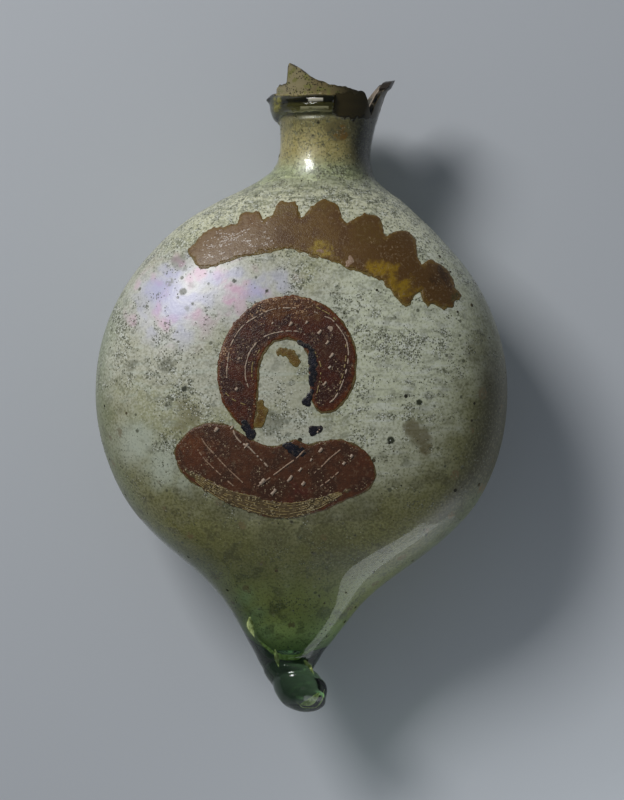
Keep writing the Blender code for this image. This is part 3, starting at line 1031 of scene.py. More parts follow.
@dataclass(frozen=True)
class FlaskForm:
    """The flask's form: outer surface and cavity at any angle about it and any height."""

    tail_tip: float = -99.6 * MM
    cavity_bottom: float = -79.8 * MM
    cavity_dome: float = 6.6 * MM
    mouth_base: float = 84.0 * MM
    knob_and_tail: Points = (
        (-99.6, 0.4), (-98.5, 2.8), (-97.3, 4.6), (-96.3, 5.6), (-94.5, 7), (-92.3, 8),
        (-91.3, 8.2), (-90.2, 7.8), (-88.2, 8), (-86.1, 7.5), (-84.8, 8.2), (-83, 9.3),
        (-79.8, 11), (-76.7, 13.4), (-70.5, 17.4), (-64.3, 21.9), (-58.1, 28.4),
        (-51.9, 36.3), (-45.7, 43.9), (-39.5, 50),
    )
    shoulder_and_neck: Points = (
        (49.2, 41.4), (53.8, 36.2), (60, 27.6), (63.1, 22.2), (66.2, 18), (69.3, 15.5),
        (72.4, 14.4), (75.5, 14.15), (81.7, 14.75), (84.8, 15.4), (91, 16.75),
        (95.4, 18.3), (103, 21.6),
    )
    centre_line: Points = (
        (-99.6, 1.6), (-96.3, 1.5), (-94.5, 0.5), (-91.3, -0.4), (-88.2, -2.5), (-86.1, -4.2),
        (-80, -4), (-76.7, -3.5), (-64.3, -2.2), (-51.9, -0.3), (-33, 0.3), (0, 0),
        (44, 0.3), (53.8, 1.1), (60, 3), (66.2, 5.1), (69.3, 6.5), (75.5, 7.4),
        (81.7, 8), (91, 8.85), (103, 9.8),
    )
    tail_rise: Points = (
        (-99.6, 7.4), (-97.3, 7.1), (-96.3, 6.6), (-94.5, 5.4), (-91.3, 3.2), (-86.1, 0.9),
        (-80, 0), (103, 0),
    )
    tail_curl: Points = ((-99.6, 38), (-91.3, 36), (-86.1, 20), (-80, 0), (103, 0))
    tail_lift: Points = (
        (-99.6, 3.4), (-98.5, 2.4), (-97.3, 1.4), (-96.3, 0.6), (-94.5, 0), (103, 0),
    )
    roundness: Points = (
        (-99.6, 1), (-94, 0.95), (-86.1, 1), (-83, 0.98), (-76.7, 0.88), (-70.5, 0.76),
        (-62, 0.65), (-50, 0.587), (-40, 0.553), (-30, 0.53), (-15, 0.508),
        (0, 0.5), (15, 0.508), (30, 0.53), (40, 0.553), (48, 0.577), (53.8, 0.61),
        (60, 0.70), (66.2, 0.87), (69.3, 0.96), (74, 1), (103, 1),
    )
    fullness: Points = (
        (-99.6, 2), (-78, 2), (-60, 2.25), (-42, 2.5), (42, 2.5), (54, 2.3),
        (64, 2), (103, 2),
    )
    wall: Points = (
        (-80, 5.6), (-71, 4.7), (-64, 3.4), (-56, 2.4), (-45, 1.7), (-20, 1.45),
        (35, 1.4), (56, 1.6), (68, 2.1), (84, 2.2), (103, 1.7),
    )
    broken_edge: Points = (
        (-180, 90.5), (-150, 92.3), (-120, 91.2), (-90, 92.3), (-76, 92.8),
        (-70, 94.2), (-57, 95.2), (-50, 95.2), (-40, 101), (-32, 99.8),
        (-26, 98.4), (-15.6, 96.2), (-4.2, 94.9), (7.3, 94), (14.3, 93.9), (28.5, 92.8),
        (35.7, 92.7), (39.4, 91.8), (46.4, 89.5), (56.4, 86), (58, 85.9), (60.4, 88.5),
        (65, 91.5), (70.4, 94.1), (75, 96.3), (90, 97), (113, 96.6), (125, 93.4),
        (135, 90.1), (155, 91), (180, 90.5),
    )
    trail_height: float = 89.0
    trail_half_width: float = 2.5
    trail_relief: float = 2.4
    lump_angle: float = -95.0
    lump_spread: float = 26.0
    spur_place: tuple[float, float] = (-88.0, 91.0)  # degrees and mm
    spur_size: tuple[float, float] = (7.0, 0.9)
    spur_relief: float = 1.0
    crease_depth: float = 0.28
    crease_width: float = 0.16
    swelling: float = 31.0 * MM
    swelling_relief: float = 0.2
    ring_relief: float = 0.035
    lip_relief: float = 0.8
    scar_height: float = 88.4
    lip_base: float = 93.8
    # Where each begins and ends, in degrees about the neck, and how soft its ends are.
    trail_run: tuple[float, float, float] = (-172.0, 5.5, 2.5)
    scar_run: tuple[float, float, float] = (3.0, 82.0, 12.0)
    lip_run: tuple[float, float, float] = (66.0, 120.0, 3.0)
    # Heights between which the form is evened out, in mm, and how softly.
    even_run: tuple[float, float, float] = (-84.0, -32.0, 8.0)

    def outline(self) -> FairCurve:
        """The outline: knob, tail, round body, shoulder and neck.

        Returns:
            Its half-width by height, in mm.
        """
        radius = BODY_RADIUS / MM
        angles = np.linspace(math.radians(-31.0), math.radians(44.0), 16)
        arc = tuple((radius * math.sin(a), radius * math.cos(a)) for a in angles)
        return FairCurve(self.knob_and_tail + arc + self.shoulder_and_neck)

    def edge(self, angle: Array) -> Array:
        """The broken edge, with small chips.

        Args:
            angle: Angles about the neck, in degrees.

        Returns:
            Its heights there, in metres.
        """
        turn = np.radians(angle)
        x, y = NECK_RADIUS * np.cos(turn), NECK_RADIUS * np.sin(turn)
        chips = wander(x, y, 1.6, 3.1) * 0.35 + wander(x, y, 0.6, 8.7) * 0.15
        return (FairCurve(self.broken_edge).at(angle) + chips) * MM

    def trail(self, angle: Array, height: Array) -> tuple[Array, Array]:
        """The wound trail of glass.

        Args:
            angle: Angles about the neck, in degrees.
            height: Heights, in metres.

        Returns:
            How far it stands out, in metres, and how much of it is there, from 0 to 1.
        """
        wobble = wander(angle * 0.05, angle * 0.0, 1.0, 5.5)
        along = between(angle, *self.trail_run)
        lump = np.exp(-(((angle - self.lump_angle) / self.lump_spread) ** 2))
        across = height / MM - self.trail_height - 0.35 * wobble + 0.5 * lump
        across = across / (self.trail_half_width * (1.0 + 0.95 * lump))
        inside = unit(1.0 - across * across)
        groove = np.exp(-((across / self.crease_width) ** 2))
        crease = 1.0 - self.crease_depth * groove * (1.0 - lump)
        relief = self.trail_relief * MM * np.sqrt(along * inside) * crease
        # A short spur is left where the hot trail was first touched down.
        (spur_angle, spur_height), (wide, high) = self.spur_place, self.spur_size
        spur = ((angle - spur_angle) / wide) ** 2 + ((height / MM - spur_height) / high) ** 2
        relief = relief + self.spur_relief * MM * np.exp(-spur)
        return relief, unit(4.0 * along * inside)

    def scar(self, angle: Array, height: Array) -> Array:
        """Where the lost stretch of the trail left its dark scar on the neck, 0 to 1."""
        across = np.exp(-(((height / MM - self.scar_height) / 3.9) ** 4))
        return across * np.sqrt(between(angle, *self.scar_run))

    def lip(self, angle: Array, height: Array) -> Array:
        """Where the sliver keeps the flask's own rounded rim, 0 to 1."""
        return between(angle, *self.lip_run) * unit((height / MM - self.lip_base) / 0.8)

    def even(self, curve: FairCurve, at: Array) -> Array:
        """A curve, averaged over a few mm where the body runs into the tail.

        Reflections run smoothly there then.

        Args:
            curve: The curve.
            at: Heights, in mm.

        Returns:
            The averaged curve's values at the heights.
        """
        near = sum(share * curve.at(at + step) for step, share in EVENING)
        part = between(at, *self.even_run)
        return curve.at(at) * (1.0 - part) + near * part

    def section(self, height: Array, inset: float) -> tuple[Array, Array]:
        """Half-width and half-depth of the form at heights.

        Args:
            height: Heights, in metres.
            inset: How far inside the cavity's wall the surface lies, in metres, or below 0
                for the outer surface.

        Returns:
            Half-widths and half-depths, in metres.
        """
        outline, roundness = self.outline(), FairCurve(self.roundness)
        at = height / MM
        wide = self.even(outline, at)
        deep = wide * self.even(roundness, at)
        if inset < 0.0:
            return wide * MM, deep * MM
        above, below = at + 0.5, at - 0.5
        wide_slope = outline.at(above) - outline.at(below)
        deep_slope = outline.at(above) * roundness.at(above) - outline.at(below) * roundness.at(below)
        wall = FairCurve(self.wall).at(at)
        down = (self.cavity_bottom + self.cavity_dome - height) / self.cavity_dome
        rounding = np.sqrt(1.0 - unit(down) ** 2)
        wide = (wide - wall * np.hypot(1.0, wide_slope)) * MM * rounding - inset
        deep = (deep - wall * np.hypot(1.0, deep_slope)) * MM * rounding - inset
        return np.maximum(wide, 0.0), np.maximum(deep, 0.0)

    def points(
        self, angle: Array, height: Array, inset: float = -1.0, plain: bool = False
    ) -> Array:
        """Points of the outer surface, or of one inside the cavity.

        Args:
            angle: Angles about the flask's axis, in degrees, 0 upwards and 90 to the right.
            height: Heights, in metres, of the same shape.
            inset: As for section.
            plain: Leave out the trail and the rim.

        Returns:
            The points, with x, y and z along the last axis.
        """
        at = height / MM
        wide, deep = self.section(height, inset)
        side, front = np.sin(np.radians(angle)), np.cos(np.radians(angle))
        power = self.even(FairCurve(self.fullness), at)
        reach = (np.abs(side) ** power + np.abs(front) ** power) ** (1.0 / power)
        side, front = side / reach, front / reach
        rise, lift, curl = np.zeros((3, *height.shape))
        if inset < 0.0:
            relief = self.trail(angle, height)[0] + self.lip_relief * MM * self.lip(angle, height)
            relief = relief * (not plain)
            # Blown glass is never quite even, and turning it left faint rings on the neck.
            uneven = wander(wide * side, height, self.swelling, 1.7) * self.swelling_relief * MM
            rings = np.sin(2.1 * at + 0.6 * side) * self.ring_relief * MM
            rings = rings * unit((at - 52.0) / 10.0)
            uneven = (uneven + rings) * unit((height - self.tail_tip) / (12.0 * MM))
            wide, deep = wide + relief + uneven, deep + relief + uneven
            rise, lift = (FairCurve(c).at(at) * MM for c in (self.tail_rise, self.tail_lift))
            curl = np.radians(FairCurve(self.tail_curl).at(at))
        x = self.even(FairCurve(self.centre_line), at) * MM + wide * side
        y = height + lift + deep * front * np.sin(curl)
        z = AXIS_HEIGHT + rise + deep * front * np.cos(curl)
        return np.stack([x, y, np.maximum(z, 0.0)], axis=-1)


@dataclass
class GlassVessel:
    """The glass wall, and the film of decayed glass that follows it."""

    form: FlaskForm
    column_step: float = 1.45
    outer_counts: tuple[int, ...] = (34, 34, 88, 26)
    inner_counts: tuple[int, ...] = (14, 12, 46, 16)
    film_counts: tuple[int, ...] = (12, 12, 88, 20)
    outer_knee: float = -83.0
    inner_knee: float = -71.0
    waist_and_shoulder: tuple[float, ...] = (-52.0, 56.0)
    mouth_rings: tuple[int, int, int] = (30, 18, 16)  # outer, inner and film
    fracture_rings: int = 3
    fracture_relief: float = 0.16 * MM
    inner_drop: float = 0.35 * MM
    film_drop: float = 0.9 * MM
    crust_base: float = 86.6
    inner_crust_base: float = 85.0
    brink_width: float = 0.8 * MM
    sharp_angle: float = 50.0
    film_gap: float = 0.05 * MM
    film_thickness: float = 0.12 * MM
    film_start: float = 1.2 * MM
    film_poles: tuple[float, float] = (0.6 * MM, 1.0 * MM)
    film_shifts: tuple[float, float] = (0.0, 0.09)
    film_floors: tuple[float, float] = (0.02 * MM, 0.10 * MM)
    # How deep in the wall the film lies, 0 at the surface and 1 in the cavity, by height:
    # bare over the body, under clear glass at the neck and, deeper, at the tail.
    film_depth: Points = (
        (-80, 0.88), (-72, 0.86), (-44, 0.07), (-35, -0.03), (63, -0.03), (69, 0.07),
        (84.5, 0.07), (87.5, 1), (104, 1),
    )

    def columns(self) -> Array:
        """Where a ring has points: at the corners of the broken edge, and evenly between.

        Returns:
            Their angles about the flask, in degrees.
        """
        corners = [angle for angle, _ in self.form.broken_edge]
        runs = []
        for low, high in zip(corners, corners[1:]):
            count = math.ceil((high - low) / self.column_step)
            runs.append(np.linspace(low, high, count, endpoint=False))
        return np.concatenate(runs)

    def levels(self, counts: tuple[int, ...], start: float, knee: float) -> Array:
        """Heights of the rings from just above a pole up to the base of the mouth.

        Args:
            counts: How many rings each stretch has, from the pole upwards.
            start: Height of the pole, in metres.
            knee: Where the first, domed stretch ends, in mm.

        Returns:
            The heights, in metres.
        """
        stops = (start / MM, knee, *self.waist_and_shoulder, self.form.mouth_base / MM)
        dome = 1.0 - np.cos(0.5 * math.pi * np.linspace(0.0, 1.0, counts[0] + 1)[1:-1])
        shares = [dome] + [np.linspace(0.0, 1.0, count, endpoint=False) for count in counts[1:]]
        runs = [low + (high - low) * share for low, high, share in zip(stops, stops[1:], shares)]
        return np.concatenate(runs) * MM

    def skin(
        self, angles: Array, levels: Array, rings: int, inset: float, drop: float
    ) -> tuple[Array, Array, Array]:
        """Rings of points from near a pole up to the broken edge.

        Args:
            angles: The columns' angles.
            levels: Heights of the level rings.
            rings: How many rings follow the broken edge above them.
            inset: As for FlaskForm.section.
            drop: How far below the broken edge the last ring stops.

        Returns:
            Angles, heights and points of every ring.
        """
        base = self.form.mouth_base
        share = np.linspace(0.0, 1.0, rings)[:, None]
        mouth = base + (self.form.edge(angles)[None, :] - drop - base) * share
        height = np.vstack([np.repeat(levels[:, None], len(angles), axis=1), mouth])
        angle = np.repeat(angles[None, :], len(height), axis=0)
        return angle, height, self.form.points(angle, height, inset)

    def shell(self, name: str, sheets: Sequence[Array], poles: Sequence[Array]) -> Mesh:
        """A closed wall from skins that follow each other.

        Args:
            name: The mesh's name.
            sheets: The skins' rings of points.
            poles: The points that close the first and the last ring.

        Returns:
            The mesh.
        """
        stack = np.concatenate(sheets, axis=0)
        points = np.concatenate([stack.reshape(-1, 3), np.array(poles)])
        return closed_mesh(name, points, ring_faces(*stack.shape[:2]))

    def pole(self, height: float, inset: float) -> Array:
        """The point that closes a skin at a height on the axis."""
        sides = self.form.points(np.array([0.0, 180.0]), np.array([height, height]), inset)
        return sides.mean(axis=0)

    def fracture(self, angles: Array, outer: Array, inner: Array) -> Array:
        """Uneven rings across the broken edge.

        Args:
            angles: The columns' angles.
            outer: The outer skin's last ring.
            inner: The inner skin's last ring.

        Returns:
            The rings' points.
        """
        across = np.linspace(0.0, 1.0, self.fracture_rings + 2)[1:-1][:, None]
        rings = outer * (1.0 - across[..., None]) + inner * across[..., None]
        turn = np.repeat(np.radians(angles)[None] * NECK_RADIUS, len(across), axis=0)
        grain = wander(turn, np.repeat(across, len(angles), axis=1), 0.9, 4.4)
        rings[:, :, 1] += grain * self.fracture_relief
        return rings

    def glass_wall(self, finish: BlownGlass) -> Object:
        """Build the glass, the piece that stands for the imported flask.

        Args:
            finish: Its finish.

        Returns:
            The piece.
        """
        form = self.form
        angles = self.columns()
        outer_levels = self.levels(self.outer_counts, form.tail_tip, self.outer_knee)
        inner_levels = self.levels(self.inner_counts, form.cavity_bottom, self.inner_knee)
        outer_mouth, inner_mouth, _ = self.mouth_rings
        angle, height, outer = self.skin(angles, outer_levels, outer_mouth, -1.0, 0.0)
        _, depth, inner = self.skin(angles, inner_levels, inner_mouth, 0.0, self.inner_drop)
        fracture = self.fracture(angles, outer[-1], inner[-1])
        poles = (self.pole(form.tail_tip, -1.0), self.pole(form.cavity_bottom, 0.0))
        mesh = self.shell("glass_wall", (outer, fracture, inner[::-1]), poles)
        _, trail = form.trail(angle, height)
        lip = form.lip(angle, height)
        depth = depth[::-1]
        crust = unit((height / MM - self.crust_base) / 1.2) * (1.0 - trail)
        inner_crust = unit(depth / MM - self.inner_crust_base)
        inner_lip = form.lip(np.repeat(angles[None], len(depth), axis=0), depth)
        brink = unit(1.0 - (form.edge(angles)[None, :] - height) / self.brink_width)
        across = np.ones(fracture.shape[:2])
        # Rows run over the outside, then across the fracture, then down the cavity.
        marks = {
            "trail": (trail,),
            "scar": (form.scar(angle, height),),
            "crust": (crust, 0.35 * across, inner_crust),
            "brink": (brink, across),
            "lip": (lip, lip[-1:] * across, inner_lip),
            "outside": (np.ones(height.shape),),
        }
        for name, values in marks.items():
            mark(mesh, name, np.concatenate(values))
        mesh.set_sharp_from_angle(angle=math.radians(self.sharp_angle))
        piece = add_piece(mesh, finish.build())
        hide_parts(NODE)
        return piece

    def film(self, finish: WeatheringFilmFinish) -> Object:
        """Build the film of decayed glass, a sheet just over or under the glass's surface.

        Args:
            finish: Its finish.

        Returns:
            The piece.
        """
        form = self.form
        angles = self.columns()
        near, far = self.film_gap, self.film_gap + self.film_thickness
        start = form.cavity_bottom + self.film_start + 2.0 * far
        levels = self.levels(self.film_counts, start, self.inner_knee)
        rings = self.mouth_rings[2]
        sheets = []
        for inset, shift, least in zip((near, far), self.film_shifts, self.film_floors):
            angle, height, inner = self.skin(angles, levels, rings, inset, self.film_drop)
            outer = form.points(angle, height, plain=True)
            ragged = wander(outer[..., 0], outer[..., 1], 6.0 * MM, 2.3) * 3.0
            deep = FairCurve(self.film_depth).at(height / MM + ragged * (height < 80.0 * MM))
            deep = np.minimum(deep + shift * (1.0 - 0.3 * deep), 1.0)[..., None]
            sheet = outer * (1.0 - deep) + inner * deep
            sheet[..., 2] = np.maximum(sheet[..., 2], least)
            sheets.append(sheet)
        low, high = (form.cavity_bottom + rise for rise in self.film_poles)
        poles = (self.pole(low, near), self.pole(high, far))
        mesh = self.shell("weathering_film", (sheets[0], sheets[1][::-1]), poles)
        return add_piece(mesh, finish.build())


# ---- Paint ----


class Coat(Enum):
    """Kinds of paint: the finish and the record's slot."""

    WREATH = (
        EnamelPaint(
            "red_brown_enamel_pale", "#76592F", "#A8906E", "#66492A", "#80642A",
            left="#8E7456",
            right="#5F421A",
            patches=(
                ("#7E5C36", (-15.6, 53, 52), 3), ("#786030", (-4.4, 56.6, 51), 3.4),
                ("#745A28", (7, 56.6, 50), 4), ("#B0963C", (6, 42.4, 58), 2.6),
                ("#A6841A", (24.6, 36.6, 57), 4), ("#A08018", (31, 30.8, 57), 3.6),
                ("#6A5024", (20, 49, 52), 4), ("#3C2812", (43, 36.6, 50), 4.4),
                ("#4E4824", (46.6, 28.4, 50), 2.6),
            ),
            # Places of painted glints.
            glints=(
                ((-21, 43.6, 54), 7.5), ((-12, 45.6, 55), 5), ((-26, 44, 54), 4),
            ),
            grain_depth_mm=0.13,
        ),
        Slot.PAINT,
    )
    HOOD = (
        EnamelPaint(
            "red_brown_enamel_dark", "#562814", "#96765E", "#3C1D12", "#7A4214",
            patches=(
                ("#6E4620", (-7, 27, 60), 5), ("#6A4622", (4, 25, 60), 4),
                ("#6C3C18", (-20.6, 21, 60), 3), ("#623822", (-23, 12, 60), 2.4),
                ("#4A2A18", (9, 14, 60), 5), ("#421A12", (8, 3, 60), 3),
            ),
            # Places of painted glints.
            glints=(((-12.0, 26.0), 5.0), ((0.0, 29.0), 5.0), ((-24.0, 12.0), 3.0)),
            glint="#CDA67C",
            specks=0.24,
            speck="#B09C7C",
        ),
        Slot.PAINT,
    )
    ROBE = (
        EnamelPaint(
            "red_brown_enamel_red", "#5E3822", "#96745A", "#4A2E1E", "#6E401E",
            patches=(
                ("#6E3F20", (-32, -14, 58), 4.5), ("#663820", (-30, -20, 57), 4.5),
                ("#642B20", (-2, -30, 57), 4.5), ("#66321A", (17, -22, 57), 4.5),
                ("#362B20", (-7, -17.6, 59), 3), ("#32302E", (-2.6, -18, 59), 3.2),
            ),
            specks=0.24,
            speck="#B09C7C",
        ),
        Slot.PAINT,
    )
    HEM = (
        EnamelPaint(
            "worn_tan_enamel", "#6E5C3E", "#B09E74", "#4A3C26", "#5E4C2C", specks=0.9,
            speck="#C0B088",
        ),
        Slot.LINE,
    )
    AMBER = (
        EnamelPaint("thin_amber_enamel", "#7E6222", "#A98C4C", "#66491C", "#80703A"),
        Slot.AMBER,
    )
    THIN = (
        EnamelPaint("thin_brown_enamel", "#66512C", "#8E7C4C", "#4E3C22", "#77693C"),
        Slot.AMBER,
    )
    DARK = (
        EnamelPaint("blue_black_enamel", "#201E2C", "#4A4640", "#14141C", "#1C1A18"),
        Slot.DARK,
    )
    CREAM = (EnamelPaint("cream_enamel", "#B79C84", "#D8C6AE", "#9A7C64", "#A98A70"), Slot.LINE)
    PALE = (
        EnamelPaint("pinkish_cream_enamel", "#C4AE98", "#E2D4C4", "#A08670", "#C4AE98"),
        Slot.LINE,
    )
    GOLD = (EnamelPaint("dull_gold_enamel", "#A8935E", "#C8B684", "#86703F", "#A8935E"), Slot.LINE)

    @cache
    def material(self) -> Material:
        """The paint's material, made when it is first used."""
        return self.value[0].build()

    @property
    def slot(self) -> Slot:
        """The record's slot that the paint stands for."""
        return self.value[1]


@dataclass
class PaintLayer:
    """A coat of paint laid on the upper face with dabs of a round brush or as a filled shape."""

    coat: Coat
    name: str
    strokes: Sequence[Sequence[Dab]] = ()
    outline: Points = ()
    thickness: float = 0.11
    edge: float = 0.35
    ragged: float = 0.34
    grow: float = 0.0
    shift: tuple[float, float] = (0.0, 0.0)
    step: float = 0.4
    seed: float = 1.0
    base: float = 0.0
    clear: float = 0.03
    under: float = 0.04

    def dabs(self) -> Array:
        """Every dab of the brush: x, y and radius in mm, close enough to look like strokes."""
        strokes = [smooth_path(stroke, 10 * len(stroke)) for stroke in self.strokes]
        return np.concatenate([np.zeros((0, 3)), *strokes])

    def corners(self) -> Array:
        """The outline's corners, one row each."""
        return np.array(self.outline, dtype=float).reshape(-1, 2)

    def depth(self, x: Array, y: Array) -> Array:
        """How far inside the painted area points lie.

        Args:
            x: The points' x, in mm.
            y: Their y, in mm.

        Returns:
            The depths, in mm, below 0 outside the area.
        """
        best = np.full(x.shape, -99.0)
        for cx, cy, radius in self.dabs():
            away = np.hypot(x - cx - self.shift[0], y - cy - self.shift[1])
            best = np.maximum(best, radius + self.grow - away)
        if self.outline:
            filled = self.filled(x - self.shift[0], y - self.shift[1]) + self.grow
            best = np.maximum(best, filled)
        wobble = wander(x, y, 2.8, self.seed) + 0.8 * wander(x, y, 1.1, self.seed + 7.0)
        return best + wobble * self.ragged

    def rounded(self) -> Array:
        """The outline with its corners cut twice, round as a loaded brush leaves them.

        Returns:
            Its corners, one row each.
        """
        corners = self.corners()
        for _ in range(2):
            ahead = np.roll(corners, -1, axis=0)
            pair = (0.8 * corners + 0.2 * ahead, 0.2 * corners + 0.8 * ahead)
            corners = np.stack(pair, axis=1).reshape(-1, 2)
        return corners

    def filled(self, x: Array, y: Array) -> Array:
        """How far inside the outline points lie.

        Args:
            x: The points' x, in mm.
            y: Their y, in mm.

        Returns:
            The distances from the outline, in mm, below 0 outside it.
        """
        corners = self.rounded()
        nearest = np.full(x.shape, 1.0e9)
        crossings = np.zeros(x.shape, dtype=int)
        for (ax, ay), (bx, by) in zip(corners, np.roll(corners, -1, axis=0)):
            along = (x - ax) * (bx - ax) + (y - ay) * (by - ay)
            along = unit(along / ((bx - ax) ** 2 + (by - ay) ** 2))
            away = np.hypot(x - ax - along * (bx - ax), y - ay - along * (by - ay))
            nearest = np.minimum(nearest, away)
            if ay != by:
                side = ax + (y - ay) * (bx - ax) / (by - ay)
                crossings += ((ay > y) != (by > y)) & (x < side)
        return np.where(crossings % 2 == 1, nearest, -nearest)

    def mesh(self, ground: BVHTree) -> Mesh:
        """The coat as a closed solid.

        Args:
            ground: What it lies on.

        Returns:
            The mesh, which stores how far inside the painted area its points lie.
        """
        dabs = self.dabs()
        ends = (dabs[:, :2] - dabs[:, 2:], dabs[:, :2] + dabs[:, 2:], self.corners())
        spread = np.concatenate(ends)
        reach = abs(self.grow) + 2.0 * self.ragged + self.step + max(map(abs, self.shift))
        low, high = spread.min(axis=0) - reach, spread.max(axis=0) + reach
        sides = [np.arange(low[k], high[k], self.step) for k in (0, 1)]
        x, y = np.meshgrid(*sides, indexing="ij")
        corners, triangles = self.contour(x, y, self.depth(x, y))
        flat, inside = np.array(corners)[:, :2], np.array(corners)[:, 2]
        ease = unit(inside / self.edge)
        top = self.base + self.clear + self.thickness * np.sqrt(ease * (2.0 - ease))
        grain = wander(flat[:, 0], flat[:, 1], 0.8, self.seed + 2.0) * 0.03
        brush = wander(flat[:, 0], flat[:, 1], 5.0, self.seed + 4.0) * 0.04
        top = top + (grain + brush) * ease
        heights = np.array([height_on(ground, px, py) for px, py in flat])
        count = len(flat)
        upper = np.column_stack([flat * MM, heights + top * MM])
        lower = np.column_stack([flat * MM, heights - self.under * MM])
        faces = list(triangles)
        faces += [(a + count, c + count, b + count) for a, b, c in triangles]
        faces += [(a, b, b + count, a + count) for a, b in self.rim(triangles)]
        mesh = closed_mesh(self.name, np.concatenate([upper, lower]), faces)
        mark(mesh, "inside", np.tile(inside, 2))
        return mesh

    @staticmethod
    def rim(triangles: Faces) -> list[tuple[int, int]]:
        """The outline of a sheet of triangles.

        Args:
            triangles: The triangles' corners.

        Returns:
            Ends of the edges that only one triangle uses.
        """
        used: dict[tuple[int, int], tuple[int, int]] = {}
        for a, b, c in triangles:
            for edge in ((a, b), (b, c), (c, a)):
                key = (min(edge), max(edge))
                if key in used:
                    del used[key]
                else:
                    used[key] = edge
        return list(used.values())

    @staticmethod
    def contour(
        x: Array, y: Array, depth: Array
    ) -> tuple[list[tuple[float, float, float]], Faces]:
        """Cut a grid of triangles along the line where depth is 0.

        Args:
            x: Grid coordinates, in mm.
            y: Grid coordinates, in mm.
            depth: Depth at each grid point.

        Returns:
            Corners as (x, y, depth) and the triangles that are inside.
        """
        corners: list[tuple[float, float, float]] = []
        index: dict[tuple, int] = {}

        def corner(i: tuple[int, int]) -> int:
            """The corner at a grid point.

            Args:
                i: The point's row and column.

            Returns:
                The corner's number.
            """
            if i not in index:
                index[i] = len(corners)
                corners.append((x[i], y[i], depth[i]))
            return index[i]

        def crossing(i: tuple[int, int], j: tuple[int, int]) -> int:
            """The corner where the outline cuts a grid line.

            Args:
                i: Row and column of the line's end inside.
                j: Row and column of its end outside.

            Returns:
                The corner's number.
            """
            key = (min(i, j), max(i, j))
            if key not in index:
                share = np.clip(depth[i] / (depth[i] - depth[j]), 0.05, 0.95)
                index[key] = len(corners)
                corners.append((x[i] + (x[j] - x[i]) * share, y[i] + (y[j] - y[i]) * share, 0.0))
            return index[key]

        triangles: Faces = []
        wet = depth > 0.0
        near = wet[:-1, :-1] | wet[1:, :-1] | wet[:-1, 1:] | wet[1:, 1:]
        for r, c in zip(*np.nonzero(near)):
            a, b, d, e = (r, c), (r + 1, c), (r + 1, c + 1), (r, c + 1)
            for cell in ((a, b, d), (a, d, e)):
                kept = [bool(wet[p]) for p in cell]
                if all(kept):
                    triangles.append(tuple(corner(p) for p in cell))
                elif any(kept):
                    # The odd corner out, wet or dry, and the two others in turn.
                    odd = kept.index(sum(kept) == 1)
                    p, q, s = cell[odd], cell[(odd + 1) % 3], cell[(odd + 2) % 3]
                    if kept[odd]:
                        triangles.append((corner(p), crossing(p, q), crossing(p, s)))
                    else:
                        pq, ps = crossing(p, q), crossing(p, s)
                        triangles.append((corner(q), corner(s), ps))
                        triangles.append((corner(q), ps, pq))
        return corners, triangles


@dataclass
class Wreath:
    """The scalloped wreath above the bust, thick red-brown over a thin amber coat."""

    shape: Points = (
        (-34.4, 44), (-32.9, 45.5), (-30.9, 47.5), (-29.2, 49.6), (-24.9, 50.8), (-19.3, 51.6),
        (-18.8, 54.1), (-17.8, 55.3), (-13.3, 55.2), (-12.1, 53.4), (-11.4, 52), (-10.9, 53.4),
        (-9.4, 53.9), (-8.4, 54.5), (-7.8, 56.2), (-6.9, 58.1), (-4.7, 58.7), (-2.3, 58.4),
        (-1.4, 56.8), (-0.8, 54.4), (0.2, 53.4), (1.8, 54.7), (3, 56.8), (5.1, 58.4),
        (7.2, 59.4), (8.7, 58.5), (10, 57.9), (11.8, 56.5), (12.3, 53.3), (14.1, 51.7),
        (15.6, 52.4), (17.1, 53.7), (19.8, 55), (22.7, 54.6), (24.5, 52.9), (24.6, 50.5),
        (25.1, 48.5), (26.3, 47.4), (27.5, 48.8), (29.9, 49.7), (32.9, 49), (34.8, 47.3),
        (35.1, 44.9), (34.8, 42.5), (35.5, 40.3), (37, 39.1), (38.8, 40.5), (41.5, 40),
        (44.2, 38.3), (46.1, 35.7), (46.5, 33.6), (47.7, 31.5), (48.9, 29.5), (46.9, 28.7),
        (46, 26.4), (42.7, 26.4), (40.6, 27.5), (38.5, 26.9), (37.3, 29.1), (36.3, 31.3),
        (34.6, 30.4), (33.6, 28.8), (32.6, 26.8), (30.5, 27.8), (28.1, 30.8), (26.3, 32.9),
        (24.2, 35), (21.6, 35.8), (19.2, 36.9), (15, 37.9), (12.6, 39.4), (9.7, 40.4),
        (6.9, 41.3), (2.7, 42.2), (0.7, 43.2), (-2.9, 44.4), (-7.7, 43.9), (-11.8, 43),
        (-15.4, 42.1), (-19.5, 41.5), (-24.3, 39.7), (-27, 38.7), (-30.3, 38.2), (-32, 39.7),
        (-32.5, 41.3), (-34.1, 42.4),
    )
    cream_patches: Sequence[Sequence[Dab]] = (
        ((4.8, 43.3, 0.6), (6.4, 43.1, 0.8), (7.6, 42.4, 0.5)),
        ((14.8, 41.2, 0.8), (15.4, 40.2, 1.1), (14.2, 39.2, 0.9)),
    )

    def layers(self) -> list[PaintLayer]:
        """The wreath's coats.

        Returns:
            The coats, lowest first.
        """
        ground = {"thickness": 0.04, "grow": 0.25, "ragged": 0.6, "shift": (-0.1, -0.4)}
        paint = {"base": 0.04, "grow": 0.05, "ragged": 0.65}
        pale = {"thickness": 0.2, "ragged": 0.5, "step": 0.25}
        shape, patches = {"outline": self.shape}, self.cream_patches
        return [
            PaintLayer(Coat.AMBER, "wreath_amber_ground", seed=4.0, **shape, **ground),
            PaintLayer(Coat.WREATH, "wreath_paint", seed=5.0, **shape, **paint),
            PaintLayer(Coat.CREAM, "wreath_cream_patches", patches, seed=9.0, **pale),
        ]


